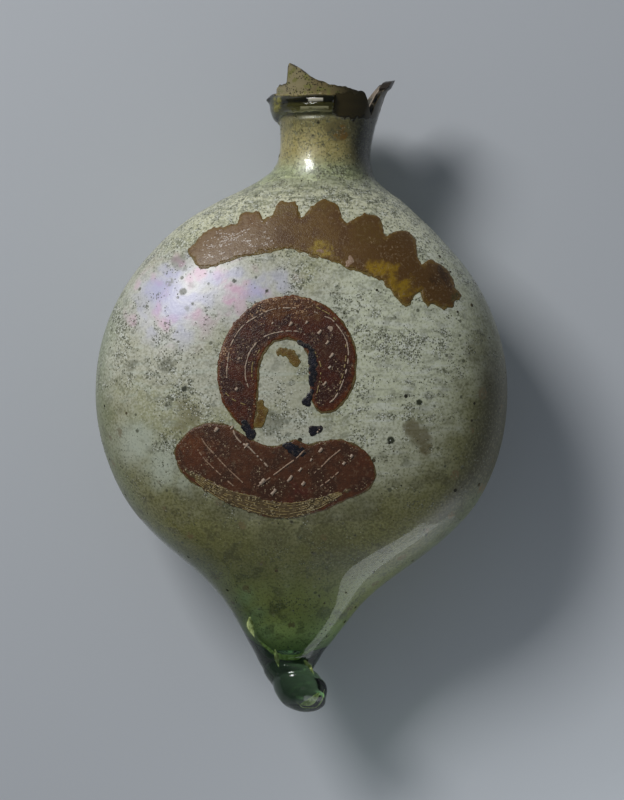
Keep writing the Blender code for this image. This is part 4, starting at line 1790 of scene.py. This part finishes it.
@dataclass
class PaintedBust:
    """The bust: a hood of hair round a lost face, and draped shoulders."""

    hood: Sequence[Dab] = (
        (-16.1, -9.4, 1.8), (-17.6, -4.9, 3.9), (-19, 0.6, 5.6), (-19.3, 6.6, 6.2),
        (-17.9, 13, 6.2), (-14.6, 18.4, 6.2), (-9.5, 22.1, 6.4), (-3.4, 23, 6.5),
        (2.4, 21.5, 6.7), (6.9, 17.2, 7), (9.3, 11.4, 7.1), (9.3, 5.7, 6.8),
        (8.1, 0.5, 5.4), (7.2, -2.2, 3.6),
    )
    robe: Points = (
        (-38.3, -16.5), (-34.5, -12.2), (-32.3, -10.3), (-26.8, -9), (-22.1, -9.7),
        (-18.7, -12.2), (-15.3, -14), (-11, -16.1), (-7.6, -16.5), (-4.7, -15.4),
        (-1.7, -14), (1.7, -15.7), (4.3, -15.2), (10.3, -14), (15.8, -15.2), (20.1, -18.2),
        (22.2, -22.1), (22.6, -25.9), (20.5, -29.3), (16.2, -31.4), (12, -33.1), (7.3, -35.3),
        (1.7, -37), (-4.7, -38), (-11, -37.6), (-17, -35.3), (-23.8, -32.3),
        (-28.9, -29.3), (-34.5, -26.3), (-37, -22.9), (-38.3, -19.5),
    )
    hem: Sequence[Dab] = (
        (-35.4, -23.2, 0.5), (-30, -27, 1.5), (-22.9, -31, 2.2), (-14.1, -33.9, 2.6),
        (-5.2, -35.7, 2.5), (4.2, -33.8, 1.8), (10, -31.3, 0.9), (15, -29.2, 0.3),
    )
    shade: Sequence[Sequence[Dab]] = (
        ((-0.5, 15.5, 0.7), (3.2, 12.3, 1.1), (3.6, 7.9, 1.4), (3.3, 3.5, 1.2), (3, 0.2, 0.8),
         (1.7, -2.8, 1.3)),
        ((-17.3, -9.4, 1.3), (-15.2, -12.5, 1.6)),
        ((-4, -16.1, 1.6), (-1, -17.9, 1.9)),
        ((3.3, -11.6, 1.3), (5.7, -10.9, 1)),
    )
    flakes: Sequence[Sequence[Dab]] = (
        ((-6.2, 12.6, 1.3), (-3.4, 11.8, 1.6), (-1.6, 9, 1.2)),
        ((-12.4, -3, 1), (-11.8, -6.4, 1.6), (-13.1, -9.4, 1.5)),
    )
    pale_flake: Sequence[Dab] = ((8.6, 20.4, 0.5), (8.9, 19.4, 0.9), (8.6, 18.4, 0.5))

    def layers(self) -> list[PaintLayer]:
        """The bust's coats.

        Returns:
            The coats, lowest first.
        """
        thin = {"thickness": 0.04, "ragged": 0.3}
        thick = {"grow": -0.1, "base": 0.04, "ragged": 0.5}
        fine = {"thickness": 0.2, "ragged": 0.7, "step": 0.3}
        faint = {**fine, "thickness": 0.08}
        aside = {"shift": (0.25, -0.35)}
        hood, robe, hem = [self.hood], {"outline": self.robe}, [self.hem]
        return [
            PaintLayer(Coat.THIN, "hood_ground", hood, grow=0.2, seed=12.0, **aside, **thin),
            PaintLayer(Coat.THIN, "robe_ground", grow=0.25, seed=14.0, **robe, **thin),
            PaintLayer(Coat.HOOD, "hood_paint", hood, seed=15.0, **thick),
            PaintLayer(Coat.ROBE, "robe_paint", seed=16.0, **robe, **thick),
            PaintLayer(Coat.HEM, "robe_hem", hem, base=0.02, seed=17.0, **fine),
            PaintLayer(Coat.DARK, "dark_shading", self.shade, seed=18.0, **fine),
            PaintLayer(Coat.AMBER, "face_flakes", self.flakes, seed=19.0, **faint),
            PaintLayer(Coat.PALE, "hair_flake", [self.pale_flake], seed=21.0, **fine),
        ]


class Growth:
    """A Geometry Nodes tree with named inputs that turns a mesh into many small parts."""

    def __init__(self, name: str, values: dict[str, float | int]) -> None:
        """Start the tree.

        Args:
            name: Its name and that of the mesh that it makes.
            values: Its inputs' names and values. A whole number makes a whole input.
        """
        self.name, self.values = name, values
        self.tree = bpy.data.node_groups.new(name, "GeometryNodeTree")
        sockets = self.tree.interface
        sockets.new_socket("Geometry", in_out="INPUT", socket_type="NodeSocketGeometry")
        for key, value in values.items():
            kind = "NodeSocketInt" if isinstance(value, int) else "NodeSocketFloat"
            sockets.new_socket(key, in_out="INPUT", socket_type=kind)
        sockets.new_socket("Geometry", in_out="OUTPUT", socket_type="NodeSocketGeometry")
        self.given = self.add("NodeGroupInput").outputs

    def add(self, kind: str, inputs: dict | None = None, **settings: object) -> Node:
        """Add a node to this tree, as add_node does."""
        return add_node(self.tree, kind, inputs, **settings)

    def grown(self, source: Mesh, parts: Node, material: Material) -> Mesh:
        """Close the tree, run it on a mesh and keep the result as a plain mesh.

        Args:
            source: The mesh that the tree starts from.
            parts: The node that makes the parts.
            material: Their finish.

        Returns:
            The plain mesh, under the tree's name.
        """
        real = self.add("GeometryNodeRealizeInstances", {0: parts})
        dressed = self.add("GeometryNodeSetMaterial", {"Geometry": real, "Material": material})
        self.add("NodeGroupOutput", {0: dressed})
        holder = bpy.data.objects.new(self.name + "_holder", source)
        bpy.context.scene.collection.objects.link(holder)
        growth = holder.modifiers.new("growth", "NODES")
        growth.node_group = self.tree
        for item in self.tree.interface.items_tree:
            if item.name in self.values:
                growth[item.identifier] = self.values[item.name]
        shown = holder.evaluated_get(bpy.context.evaluated_depsgraph_get())
        source.name = self.name + "_source"
        mesh = bpy.data.meshes.new_from_object(shown)
        mesh.name = self.name
        mesh.shade_smooth()
        holder.modifiers.clear()
        bpy.data.objects.remove(holder, do_unlink=True)
        return mesh


@dataclass
class WornStrokes:
    """Fine painted lines, worn into dashes and grains by a Geometry Nodes tree."""

    coat: Coat
    name: str
    paths: Sequence[Array]
    radius: float
    wear: float
    grain: float = 900.0
    seed: float = 3.0
    point_step: float = 0.22 * MM
    sides: int = 6

    def build(self, ground: BVHTree) -> Object:
        """Lay the lines.

        Args:
            ground: The painted surface that they lie on.

        Returns:
            All of them as one piece.
        """
        points: list[tuple[float, float, float]] = []
        edges: list[tuple[int, int]] = []
        for line in self.paths:
            first = len(points)
            points += [(x * MM, y * MM, height_on(ground, x, y)) for x, y in line]
            edges += [(i, i + 1) for i in range(first, len(points) - 1)]
        source = bpy.data.meshes.new(self.name)
        source.from_pydata(points, edges, [])
        values = {
            "Radius": self.radius, "Wear": self.wear, "Grain": self.grain, "Seed": self.seed,
        }
        growth = Growth(self.name, values)
        add, given = growth.add, growth.given
        path = add("GeometryNodeMeshToCurve", {0: given["Geometry"]})
        steps = {"Curve": path, "Length": self.point_step}
        even = add("GeometryNodeResampleCurve", steps, mode="LENGTH")
        wire = add("GeometryNodeCurveToMesh", {"Curve": even})
        place = add("GeometryNodeInputPosition")
        patchy = {"Vector": place, "W": given["Seed"], "Scale": given["Grain"], "Detail": 2.0}
        patches = add("ShaderNodeTexNoise", patchy, noise_dimensions="4D")
        limit = {0: patches, 1: given["Wear"]}
        worn = add("FunctionNodeCompare", limit, operation="LESS_THAN")
        # Points go from a mesh, so that the line breaks where they were.
        spare = {"Geometry": wire, "Selection": worn}
        kept = add("GeometryNodeDeleteGeometry", spare, domain="POINT")
        broken = add("GeometryNodeMeshToCurve", {0: kept})
        swell = {"From Min": 0.40, "From Max": 0.70, "To Min": 0.45, "To Max": 1.35}
        thick = add("ShaderNodeMapRange", {"Value": patches, **swell})
        size = add("ShaderNodeMath", {0: thick, 1: given["Radius"]}, operation="MULTIPLY")
        outline = {"Resolution": self.sides, "Radius": 1.0}
        profile = add("GeometryNodeCurvePrimitiveCircle", outline)
        tube = {"Curve": broken, "Profile Curve": profile, "Scale": size, "Fill Caps": True}
        material = self.coat.material()
        mesh = growth.grown(source, add("GeometryNodeCurveToMesh", tube), material)
        return add_piece(mesh, material)


@dataclass
class LineWork:
    """Where the bust's fine lines and dabs run, in mm."""

    bust: PaintedBust
    line_points: int = 90
    hair: Sequence[Points] = (
        (
            (-22.5, 4.5), (-22.5, 6.6), (-22.3, 8.7), (-22, 11.2), (-21.4, 13.9),
            (-20.1, 16.9), (-18.2, 19.6), (-16.1, 21.5), (-13.4, 23.1), (-11.3, 24.2),
            (-8.9, 25.2), (-5.5, 25.7), (-1.6, 25.7),
        ),
        (
            (3.9, 24.6), (6.6, 23.3), (9, 22.4), (10.8, 20.5), (12.7, 17.8), (13.9, 15.1),
            (14.3, 11.8), (14, 8.4), (13.3, 5.4), (12.5, 3), (11.1, -0.1), (9.6, -2.2),
            (7.8, -3.4),
        ),
        ((-11.3, 16.9), (-9.5, 17.7), (-7, 18.3), (-4, 18.7), (-1, 18.6), (1.2, 17.6)),
        ((-13.7, 14.8), (-15.5, 12.4), (-16.4, 9.9), (-16.9, 7.5), (-16.9, 5.1), (-15.9, 1.4)),
    )
    side_hair: Sequence[Points] = (
        ((4.5, 26), (6.6, 24.9), (8.7, 23.7), (11.1, 21.5)),
        ((3.6, 13.6), (5.1, 10.5), (6, 7.5), (5.8, 4.5), (5.1, 1.5), (4.5, -1.6)),
        ((13.4, 15.5), (13.6, 11.8), (13.2, 8.2), (12.6, 5.4), (11.2, 1.4), (9.4, -1.4)),
        ((-24.3, 1.2), (-22.5, -0.4), (-20.4, -2.2), (-16.7, -3.7)),
        ((-12.5, 13), (-14.3, 9.9), (-14.9, 7.5), (-14.9, 5.1), (-14, 2.7)),
    )
    folds: Sequence[Points] = (
        ((-30.2, -13.7), (-29.1, -15.5), (-26, -18.9), (-23.7, -21.5), (-17.7, -27.2)),
        ((-31.7, -16.8), (-29.4, -20), (-26.4, -23), (-23.7, -25.5), (-20, -28.7)),
        ((1.3, -17), (-1.7, -20), (-4.4, -21.9), (-7.4, -24.2), (-13.1, -28.3)),
        ((11.9, -17.2), (8.9, -19.6), (6.6, -21.9), (3.9, -24.4)),
        ((11.5, -23.8), (8.9, -26.1), (5.8, -28.3)),
    )
    collar: Points = (
        (-20.9, -10.1), (-20, -12.8), (-18.1, -15.1), (-16.2, -16.2), (-13.9, -18.5),
        (-10.1, -22.3),
    )
    # Short broad dabs: place and half-length, slanting up to the right.
    dabs: Sequence[Dab] = (
        (-8.7, 21, 0.4), (-3.1, 20.8, 0.6), (1.7, 21.3, 0.4), (5.7, 18.4, 0.6),
        (8, 15.2, 0.5), (9.3, 11.3, 0.7), (8.7, 7.8, 0.4), (7.2, 2.8, 0.6),
        (-18.7, 10.4, 0.3), (-19.5, 1.2, 0.4), (-13.7, 14.9, 0.4), (-20.9, -10.5, 0.5),
        (-16.5, -16, 0.7), (6, -17.3, 0.6), (2.8, -20.6, 0.7), (-0.2, -23.2, 0.5),
        (-3.3, -25.9, 0.9), (-8.2, -29.9, 0.8), (0.7, -27.4, 0.5), (-25.6, -11.1, 0.6),
        (-11.6, -26.8, 0.8), (15.3, -19.1, 0.4), (13, -21.3, 0.4), (5.3, -11.5, 0.5),
    )

    def beside(self, share: float, first: float = 0.08, last: float = 0.92) -> Array:
        """A fine line along the robe's hem.

        Args:
            share: Its place: 1 is the hem's left edge, -1 its right edge.
            first: Where it starts, as a share of the hem's length.
            last: Where it ends.

        Returns:
            Points of the line, x and y in mm.
        """
        x, y, reach = smooth_path(self.bust.hem, self.line_points, first, last).T
        dx, dy = np.gradient(x), np.gradient(y)
        reach = reach / np.hypot(dx, dy)
        share = share + 0.16 * wander(x * MM, y * MM, 3.0 * MM, 6.0 + 9.0 * share)
        return np.stack([x - dy * reach * share, y + dx * reach * share], axis=1)

    def strokes(self) -> list[WornStrokes]:
        """Every group of strokes.

        Returns:
            The groups, each with its own width and wear.
        """
        dabs = [np.array([(x - r, y - r), (x, y), (x + 0.6 * r, y + r)]) for x, y, r in self.dabs]
        hair, side, folds, collar = (
            [smooth_path(line, self.line_points) for line in lines]
            for lines in (self.hair, self.side_hair, self.folds, (self.collar,))
        )
        hem = [self.beside(share) for share in (0.85, 0.5, 0.2, -0.1, -0.45, -0.8)]
        return [
            WornStrokes(Coat.PALE, "hair_lines", hair, 0.27 * MM, 0.40, 900.0),
            WornStrokes(Coat.GOLD, "side_hair_lines", side, 0.22 * MM, 0.47, 1400.0),
            WornStrokes(Coat.PALE, "painted_dabs", dabs, 0.52 * MM, 0.36, 700.0),
            WornStrokes(Coat.PALE, "collar_line", collar, 0.36 * MM, 0.41),
            WornStrokes(Coat.CREAM, "robe_lines", folds, 0.25 * MM, 0.42, 900.0),
            WornStrokes(Coat.GOLD, "hem_lines", hem, 0.13 * MM, 0.45, 700.0),
        ]


# ---- Soil and threads ----


@dataclass
class Speckle:
    """Grains scattered over the outside by a Geometry Nodes tree."""

    name: str
    count_per_cm2: float
    smallest: float
    largest: float
    flatness: float
    seed: int
    patchy: float
    patch: float = 75.0  # per metre

    def build(self, skin: Mesh, material: Material) -> Object:
        """Scatter the grains.

        Args:
            skin: The surface that they lie on.
            material: Their finish.

        Returns:
            All of them as one piece.
        """
        source = skin.copy()
        values = {
            "Density": self.count_per_cm2 * PER_CM2,
            "Smallest": self.smallest,
            "Largest": self.largest,
            "Flatness": self.flatness,
            "Patchiness": self.patchy,
            "Seed": self.seed,
        }
        growth = Growth(self.name, values)
        add, given = growth.add, growth.given
        place = add("GeometryNodeInputPosition")
        patches = add("ShaderNodeTexNoise", {"Vector": place, "Scale": self.patch, "Detail": 3.0})
        limit = {0: patches, 1: given["Patchiness"]}
        enough = add("FunctionNodeCompare", limit, operation="GREATER_THAN")
        strewn = {"Mesh": given["Geometry"], "Selection": enough}
        strewn |= {key: given[key] for key in ("Density", "Seed")}
        dots = add("GeometryNodeDistributePointsOnFaces", strewn)
        grain = add("GeometryNodeMeshIcoSphere", {"Radius": 1.0, "Subdivisions": 2})
        sizes = {"Min": given["Smallest"], "Max": given["Largest"], "Seed": given["Seed"]}
        wide = add("FunctionNodeRandomValue", sizes, data_type="FLOAT").outputs[1]
        low = add("ShaderNodeMath", {0: wide, 1: given["Flatness"]}, operation="MULTIPLY")
        size = add("ShaderNodeCombineXYZ", {0: wide, 1: wide, 2: low})
        spread = {"Points": dots, "Instance": grain, "Rotation": dots.outputs["Rotation"]}
        grains = add("GeometryNodeInstanceOnPoints", {**spread, "Scale": size})
        return add_piece(growth.grown(source, grains, material), material)


SKIN_GAP = 0.05  # mm


def body_skin(glass: Object, low: float, high: float) -> Mesh:
    """The outer faces of the glass between two heights.

    Args:
        glass: The glass wall.
        low: Lower height, in metres.
        high: Upper height, in metres.

    Returns:
        A mesh of only those faces, just clear of the glass.
    """
    outside = glass.data.attributes["outside"].data
    bm = bmesh.new()
    bm.from_mesh(glass.data)
    bm.verts.ensure_lookup_table()
    spare = [v for v in bm.verts if outside[v.index].value < 0.5 or not low < v.co.y < high]
    bmesh.ops.delete(bm, geom=spare, context="VERTS")
    for v in bm.verts:
        v.co += v.normal * SKIN_GAP * MM
    skin = bpy.data.meshes.new("body_skin")
    bm.to_mesh(skin)
    bm.free()
    return skin


@dataclass
class TailGlints:
    """Pale threads that stand for glints in the tail, shaped as drawn-out bubbles, and a painted
    bright line along the cavity's lower rim.
    """

    # Place and half-width of each thread, in mm.
    threads: Sequence[Sequence[Dab]] = (
        ((-15.8, -69, 0.3), (-15.4, -71.8, 1.5), (-14.4, -75.4, 0.2)),
        ((-8, -79, 0.2), (-7.5, -81.6, 0.8), (-7, -84.6, 0.15)),
        ((0.8, -82.4, 0.2), (2.1, -84.6, 1), (3.8, -87, 0.2)),
        (
            (-1.6, -95.2, 0.10), (0.9, -97.2, 0.22), (3.9, -97.2, 0.28), (6.2, -94.8, 0.24),
            (7, -91.5, 0.10),
        ),
        ((-0.4, -96.2, 0.25), (2.5, -95, 1.5), (5.4, -92.6, 0.3)),
    )
    buried: float = 0.35
    rim_width: float = 0.6
    sides: int = 8
    flatness: float = 0.5
    rim_top: float = -72.5 * MM
    rim_rise: float = 3.0
    rim_points: int = 16
    rim_outset: float = 0.35
    rim_drop: float = 0.7
    thread_points: int = 24

    def cavity_rim(self, vessel: GlassVessel) -> Array:
        """The cavity's outline round its lower end, where the painted bright line runs.

        Args:
            vessel: The vessel.

        Returns:
            The path of the rim: x, y, z and half-width, in mm.
        """
        bottom = vessel.form.cavity_bottom
        height = np.linspace(self.rim_top, bottom + 0.05 * MM, self.rim_points)
        deep = FairCurve(vessel.film_depth).at(height / MM)[:, None]
        sides = []
        for angle in (-90.0, 90.0):
            turn = np.full(height.shape, angle)
            outer = vessel.form.points(turn, height, plain=True)
            inner = vessel.form.points(turn, height, vessel.film_gap)
            sides.append(outer * (1.0 - deep) + inner * deep)
        path = np.concatenate([sides[0], sides[1][::-1]]) / MM
        taper = np.sin(np.linspace(0.08, math.pi - 0.08, len(path)))
        x, y, z = path.T
        # It stands just outside the film, and a little lower where it rounds the end.
        x = x + np.sign(x - x.mean()) * self.rim_outset * (y > -79.0)
        y = y - np.clip((-76.0 - y) * 0.2, 0.0, self.rim_drop)
        return np.column_stack([x, y, z + self.rim_rise, self.rim_width * taper])

    def tube(self, path: Array) -> Array:
        """A flat tube along a path.

        Args:
            path: The path's x, y, z and half-width, in mm.

        Returns:
            The tube's points, in metres, with its two poles last.
        """
        ahead = np.gradient(path[:, :2], axis=0)
        ahead = ahead / np.maximum(np.hypot(ahead[:, 0], ahead[:, 1]), 1.0e-6)[:, None]
        turns = np.linspace(0.0, 2.0 * math.pi, self.sides, endpoint=False)
        rings = np.repeat(path[:, None, :3], self.sides, axis=1)
        rings[:, :, 0] -= ahead[:, 1:] * np.cos(turns) * path[:, 3:]
        rings[:, :, 1] += ahead[:, :1] * np.cos(turns) * path[:, 3:]
        rings[:, :, 2] += np.sin(turns) * path[:, 3:] * self.flatness
        return np.concatenate([rings.reshape(-1, 3), path[[0, -1], :3]]) * MM

    def build(self, vessel: GlassVessel, ground: BVHTree, finish: GlintGlass) -> Object:
        """Lay the threads just under the surface of the tail.

        Args:
            vessel: The vessel whose cavity has the rim.
            ground: The surface of the glass.
            finish: Their finish.

        Returns:
            The piece.
        """
        paths = [self.cavity_rim(vessel)]
        for thread in self.threads:
            x, y, r = smooth_path(thread, self.thread_points).T
            z = [height_on(ground, px, py) / MM - self.buried for px, py in zip(x, y)]
            paths.append(np.column_stack([x, y, z - r, r]))
        points = np.zeros((0, 3))
        faces: Faces = []
        for path in paths:
            faces += ring_faces(len(path), self.sides, len(points))
            points = np.concatenate([points, self.tube(path)])
        return add_piece(closed_mesh("tail_glints", points, faces), finish.build())


# ---- Studio ----


@dataclass
class Studio:
    """A pale sheet, one soft key light from the upper left, a weak card and the camera."""

    key_direction: tuple[float, float, float] = (-0.513, 0.551, 0.656)
    key_distance: float = 1.1
    key_size: tuple[float, float] = (0.46, 0.30)
    key_power: float = 6.5
    card_place: tuple[float, float, float] = (0.112, -0.208, 0.044)
    card_size: tuple[float, float] = (0.27, 0.082)
    card_power: float = 0.108
    sky: str = "#C4CEDA"
    sky_strength: float = 0.17
    camera_distance: float = 1.2
    view_centre: tuple[float, float] = (3.26 * MM, -2.17 * MM)
    view_height: float = 248.6 * MM
    sensor: float = 36.0
    floor_half: float = 1.5

    def floor(self) -> None:
        """Lay the sheet of paper."""
        half = self.floor_half
        mesh = bpy.data.meshes.new("paper_floor")
        corners = [(-half, -half, 0.0), (half, -half, 0.0), (half, half, 0.0), (-half, half, 0.0)]
        mesh.from_pydata(corners, [], [(0, 1, 2, 3)])
        mesh.materials.append(MattePaper().build())
        sheet = bpy.data.objects.new("paper_floor", mesh)
        bpy.context.scene.collection.objects.link(sheet)

    def lamp(
        self, name: str, place: Vector, size: tuple[float, float], power: float, tint: str
    ) -> None:
        """Add a soft lamp that faces the flask.

        Args:
            name: The lamp's name.
            place: Where it stands.
            size: Its width and height.
            power: Its power in watts.
            tint: Its colour, as #RRGGBB.
        """
        light = bpy.data.lights.new(name, "AREA")
        light.shape = "RECTANGLE"
        light.size, light.size_y = size
        light.energy = power
        light.color = linear(tint)[:3]
        lamp = bpy.data.objects.new(name, light)
        lamp.location = place
        aim = Vector((0.0, 0.0, AXIS_HEIGHT)) - place
        lamp.rotation_euler = aim.to_track_quat("-Z", "Y").to_euler()
        bpy.context.scene.collection.objects.link(lamp)

    def camera(self) -> None:
        """Set the camera above the flask, looking straight down."""
        lens = bpy.data.cameras.new("camera")
        lens.sensor_width = self.sensor
        lens.lens = self.sensor * self.camera_distance / self.view_height
        lens.clip_start = 0.01
        eye = bpy.data.objects.new("camera", lens)
        eye.location = (*self.view_centre, AXIS_HEIGHT + self.camera_distance)
        bpy.context.scene.collection.objects.link(eye)
        bpy.context.scene.camera = eye

    def build(self) -> None:
        """Set up the whole studio."""
        scene = bpy.context.scene
        scene.view_settings.view_transform = "Standard"
        self.floor()
        key = Vector(self.key_direction).normalized() * self.key_distance
        key.z += AXIS_HEIGHT
        self.lamp("key_light", key, self.key_size, self.key_power, "#FFFFFF")
        self.lamp("edge_card", Vector(self.card_place), self.card_size, self.card_power, "#E8EEF0")
        world = bpy.data.worlds.new("studio")
        world.use_nodes = True
        air = world.node_tree.nodes["Background"]
        air.inputs["Color"].default_value = linear(self.sky)
        air.inputs["Strength"].default_value = self.sky_strength
        scene.world = world
        self.camera()


def main() -> None:
    """Build the studio and the flask, piece by piece."""
    logging.basicConfig(level=logging.INFO, format="%(name)s: %(message)s")
    Studio().build()
    vessel = GlassVessel(FlaskForm())
    glass = vessel.glass_wall(BlownGlass())
    film = vessel.film(WeatheringFilmFinish())
    TailGlints().build(vessel, ground_of([glass]), GlintGlass())
    painted = [glass, film]
    ground = ground_of(painted)
    bust = PaintedBust()
    for layer in Wreath().layers() + bust.layers():
        mesh = layer.mesh(ground)
        painted.append(add_piece(mesh, layer.coat.material()))
    painted_ground = ground_of(painted)
    for strokes in LineWork(bust).strokes():
        strokes.build(painted_ground)
    soil = DrySoil().build()
    skin = body_skin(glass, -76.0 * MM, 86.0 * MM)
    Speckle("decay_pits", 2.6, 0.10 * MM, 0.26 * MM, 0.3, 11, 0.50).build(skin, soil)
    Speckle("soil_grains", 0.22, 0.35 * MM, 0.75 * MM, 0.14, 23, 0.45).build(skin, soil)
    bpy.data.meshes.remove(skin)


if __name__ == "__main__":
    main()
